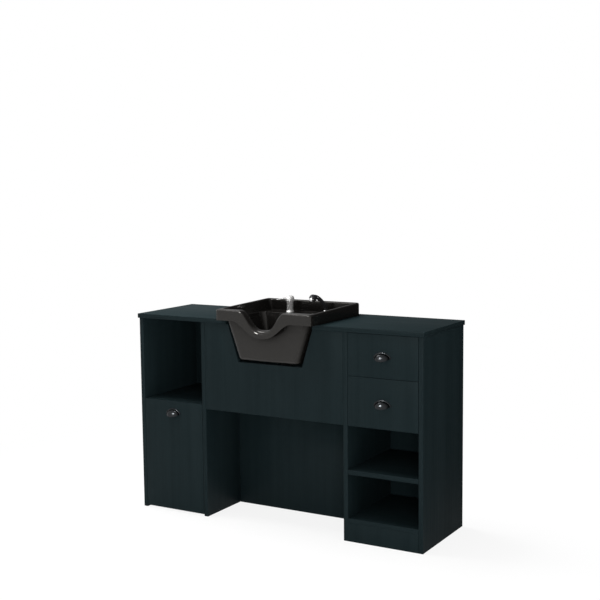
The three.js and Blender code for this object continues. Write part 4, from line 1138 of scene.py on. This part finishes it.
def sprayer_arm():
    """The handle, which arches over to the head and slims a little on its way."""
    a, b, c, d = (Vector(p) for p in HANDLE_ARCH)
    path = [Vector((0, 0, z)) for z in HANDLE_STRAIGHT]
    for i in range(HANDLE_ARCH_STEPS + 1):
        t = i / HANDLE_ARCH_STEPS
        path.append(
            a * (1 - t) ** 3 + b * 3 * t * (1 - t) ** 2 + c * 3 * t * t * (1 - t) + d * t**3
        )

    def radius_at(t):
        if t == 0:
            return HANDLE_END_RADIUS
        return HANDLE_RADIUS - HANDLE_SLIMMING * math.sin(math.pi * t) ** 2

    arm = swept("sprayer_arm", path, radius_at, SPRAYER_TURN, sides=56)
    dress(arm, HANDLE_BLACK, "sprayer", "handle_plastic", "sprayer_handle")


def sprayer_head():
    """A domed shell, the spray face with its soft nubs, and a small round button."""
    dome = [
        (DOME_RADIUS * math.sin(a), DOME_START + DOME_HEIGHT * (1 - math.cos(a)))
        for a in np.linspace(0, QUARTER_TURN, 19)
    ]
    mouth = [(DOME_RADIUS, 17), (DOME_RADIUS, 22), (15.1, 22), (15.1, 20), (0, 20)]
    profile = dome[:-1] + rounded(mouth, [0, 0.9, 0.6, 0.3, 0])
    shell = turned("sprayer_dome", profile, HEAD_TURN, SPRAYER_SIDES)
    dress(shell, HEAD_BLACK, "sprayer", "handle_plastic", "sprayer_handle")

    face = [
        (0, 20.3), (14.8, 20.3), (14.8, 23.5), (12, FACE_LEVEL), (10.5, 35), (9, FACE_LEVEL),
        (0, FACE_LEVEL),
    ]
    profile = rounded(face, [0, 0.2, 1.5, 1.0, 0.8, 0.5, 0])
    nozzle = turned("spray_face", profile, HEAD_TURN, SPRAYER_SIDES)
    dress(nozzle, CHROME, "sprayer", "chrome", "sprayer_nozzle")

    nub = [(0, 0), (0.8, 0), (0.7, 0.9), (0.35, 1.2), (0, 1.2)]
    places = [(0.0, 0.0)]
    for count, radius in NUB_RINGS:
        for i in range(count):
            around = 2 * math.pi * i / count
            places.append((radius * math.cos(around), radius * math.sin(around)))
    for i, (x, y) in enumerate(places):
        place = HEAD_TURN @ Matrix.Translation((x, y, FACE_LEVEL))
        piece = turned(f"spray_nub_{i}", nub, place, 12)
        dress(piece, SOFT_BLACK, "sprayer", "handle_plastic")

    button = rounded([(0, 0), (3.0, 0), (3.0, 1.2), (2.4, 2.0), (0, 2.4)], [0, 0.2, 0.6, 0.8, 0])
    place = SPRAYER_TURN @ Matrix.Translation(BUTTON_PLACE) @ Matrix.Rotation(QUARTER_TURN, 4, "X")
    dress(turned("spray_button", button, place, 32), CHROME, "sprayer", "chrome")


sprayer_guide()
sprayer_arm()
sprayer_head()


# Floor, backdrop, lights and camera

AMBIENT = 0.42
SURROUND_DARK = 0.04
BRIGHT_SIDE = (-0.64, -0.77, 0.0)
WORLD_FALL = (-0.75, 0.75)
FLOOR_FALL = (-1.2, 0.9)
FLOOR_HALF = 40.0
FLOOR_DROP = 0.0005
FLOOR_GREY = (0.80, 0.80, 0.80, 1)
FADE_LEAST = 0.86
FADE_RADII = (0.5, 2.2)
LAMPS = (
    # Name, place, target, size, watts, seen in gloss, lights matt faces
    ("key", (-1.7, -4.6, 2.7), (0, 0, 0.5), (4.4, 2.0), 36, False, True),
    ("fill", (2.5, -4.3, 1.2), (0.2, 0, 0.5), (1.4, 1.2), 120, False, True),
    ("side", (4.4, -0.6, 1.3), (0.4, 0, 0.5), (2.0, 2.0), 40, False, True),
    ("top", (-1.1, 0.1, 3.5), (0.1, 0, 0.9), (2.0, 1.8), 200, False, True),
    ("glint", (-0.58, -0.30, 1.92), (0.0, -0.1, 0.93), (0.42, 0.5), 3.5, True, True),
    ("left_glint", (-1.12, -3.27, 2.70), (0.4, 0, 0.8), (0.9, 0.9), 110, True, False),
)
CAMERA_PLACE = (2.4828, -4.1611, 1.5123)
CAMERA_YAW, CAMERA_PITCH, CAMERA_ROLL = (math.radians(a) for a in (30.44, 6.32, -0.60))
SENSOR_WIDTH = 36.0
FOCAL_PIXELS = 1114.3
PICTURE_PIXELS = 600


def seen_by_eye(tree):
    """One for camera, glossy and transmission rays, and zero for the rest."""
    rays = add_node(tree, "ShaderNodeLightPath").outputs
    shiny = combine(tree, "MAXIMUM", rays["Is Camera Ray"], rays["Is Glossy Ray"])
    return combine(tree, "MAXIMUM", shiny, rays["Is Transmission Ray"])


def graded(tree, coordinate, start, end):
    """White on the bright side, falling to dark grey on the other; white to every camera ray."""
    along = add_node(tree, "ShaderNodeVectorMath", operation="DOT_PRODUCT")
    tree.links.new(coordinate, along.inputs[0])
    along.inputs[1].default_value = BRIGHT_SIDE
    fall = map_range(
        tree, along.outputs["Value"], SURROUND_DARK, 1.0, start, end,
        interpolation_type="SMOOTHSTEP",
    )
    camera_ray = add_node(tree, "ShaderNodeLightPath").outputs["Is Camera Ray"]
    return combine(tree, "MAXIMUM", fall, camera_ray)


def choose(tree, output, share, plain, seen):
    """Shows one shader to the rays that the share picks, and the plain one to the rest."""
    mixer = add_node(tree, "ShaderNodeMixShader")
    tree.links.new(share, mixer.inputs["Fac"])
    tree.links.new(plain.outputs[0], mixer.inputs[1])
    tree.links.new(seen.outputs[0], mixer.inputs[2])
    tree.links.new(mixer.outputs[0], add_node(tree, output).inputs["Surface"])


def make_world():
    """A pale grey light from all round, and a graded surround for the rays that see it."""
    world = bpy.data.worlds.new("studio")
    bpy.context.scene.world = world
    world.use_nodes = True
    tree = world.node_tree
    tree.nodes.clear()
    light = add_node(tree, "ShaderNodeBackground", Color=WHITE, Strength=AMBIENT)
    seen = add_node(tree, "ShaderNodeBackground", Color=WHITE)
    direction = add_node(tree, "ShaderNodeTexCoord").outputs["Generated"]
    tree.links.new(graded(tree, direction, *WORLD_FALL), seen.inputs["Strength"])
    choose(tree, "ShaderNodeOutputWorld", seen_by_eye(tree), light, seen)


def make_floor():
    """A pale floor that keeps the shadow and runs out into the white backdrop."""
    mesh = bpy.data.meshes.new("floor")
    corners = [(-1, -1), (1, -1), (1, 1), (-1, 1)]
    mesh.from_pydata([(x * FLOOR_HALF, y * FLOOR_HALF, 0) for x, y in corners], [], [(0, 1, 2, 3)])
    floor = bpy.data.objects.new("floor", mesh)
    bpy.context.scene.collection.objects.link(floor)
    floor.location.z = -FLOOR_DROP
    material = bpy.data.materials.new("floor_white")
    material.use_nodes = True
    tree = material.node_tree
    tree.nodes.clear()
    matte = add_node(tree, "ShaderNodeBsdfDiffuse", Color=FLOOR_GREY)
    glow = add_node(tree, "ShaderNodeEmission", Color=WHITE)
    place = add_node(tree, "ShaderNodeTexCoord").outputs["Object"]
    tree.links.new(graded(tree, place, *FLOOR_FALL), glow.inputs["Strength"])
    length = add_node(tree, "ShaderNodeVectorMath", operation="LENGTH")
    tree.links.new(place, length.inputs[0])
    fade = map_range(
        tree, length.outputs["Value"], FADE_LEAST, 1.0, *FADE_RADII,
        interpolation_type="SMOOTHSTEP",
    )
    share = combine(tree, "MULTIPLY", fade, seen_by_eye(tree))
    choose(tree, "ShaderNodeOutputMaterial", share, matte, glow)
    mesh.materials.append(material)


def area_light(name, place, target, size, watts, glossy, diffuse):
    """A soft lamp that the camera doesn't see."""
    data = bpy.data.lights.new(name, "AREA")
    data.shape = "RECTANGLE"
    data.size, data.size_y = size
    data.energy = watts
    obj = bpy.data.objects.new(name, data)
    bpy.context.scene.collection.objects.link(obj)
    obj.location = place
    direction = Vector(target) - Vector(place)
    obj.rotation_euler = direction.to_track_quat("-Z", "Y").to_euler()
    obj.visible_glossy = glossy
    obj.visible_diffuse = diffuse
    obj.visible_camera = False


def make_camera():
    """The photograph's viewpoint, from the front right."""
    forward = Vector((
        -math.sin(CAMERA_YAW) * math.cos(CAMERA_PITCH),
        math.cos(CAMERA_YAW) * math.cos(CAMERA_PITCH),
        -math.sin(CAMERA_PITCH),
    ))
    level = Vector((math.cos(CAMERA_YAW), math.sin(CAMERA_YAW), 0))
    upright = level.cross(forward)
    right = level * math.cos(CAMERA_ROLL) + upright * math.sin(CAMERA_ROLL)
    up = upright * math.cos(CAMERA_ROLL) - level * math.sin(CAMERA_ROLL)
    data = bpy.data.cameras.new("camera")
    data.sensor_width = SENSOR_WIDTH
    data.lens = FOCAL_PIXELS / PICTURE_PIXELS * SENSOR_WIDTH
    camera = bpy.data.objects.new("camera", data)
    bpy.context.scene.collection.objects.link(camera)
    turn = Matrix((right, up, -forward)).transposed().to_4x4()
    camera.matrix_world = Matrix.Translation(CAMERA_PLACE) @ turn
    bpy.context.scene.camera = camera


make_world()
make_floor()
for lamp in LAMPS:
    area_light(*lamp)
make_camera()
bpy.context.scene.view_settings.view_transform = "Standard"
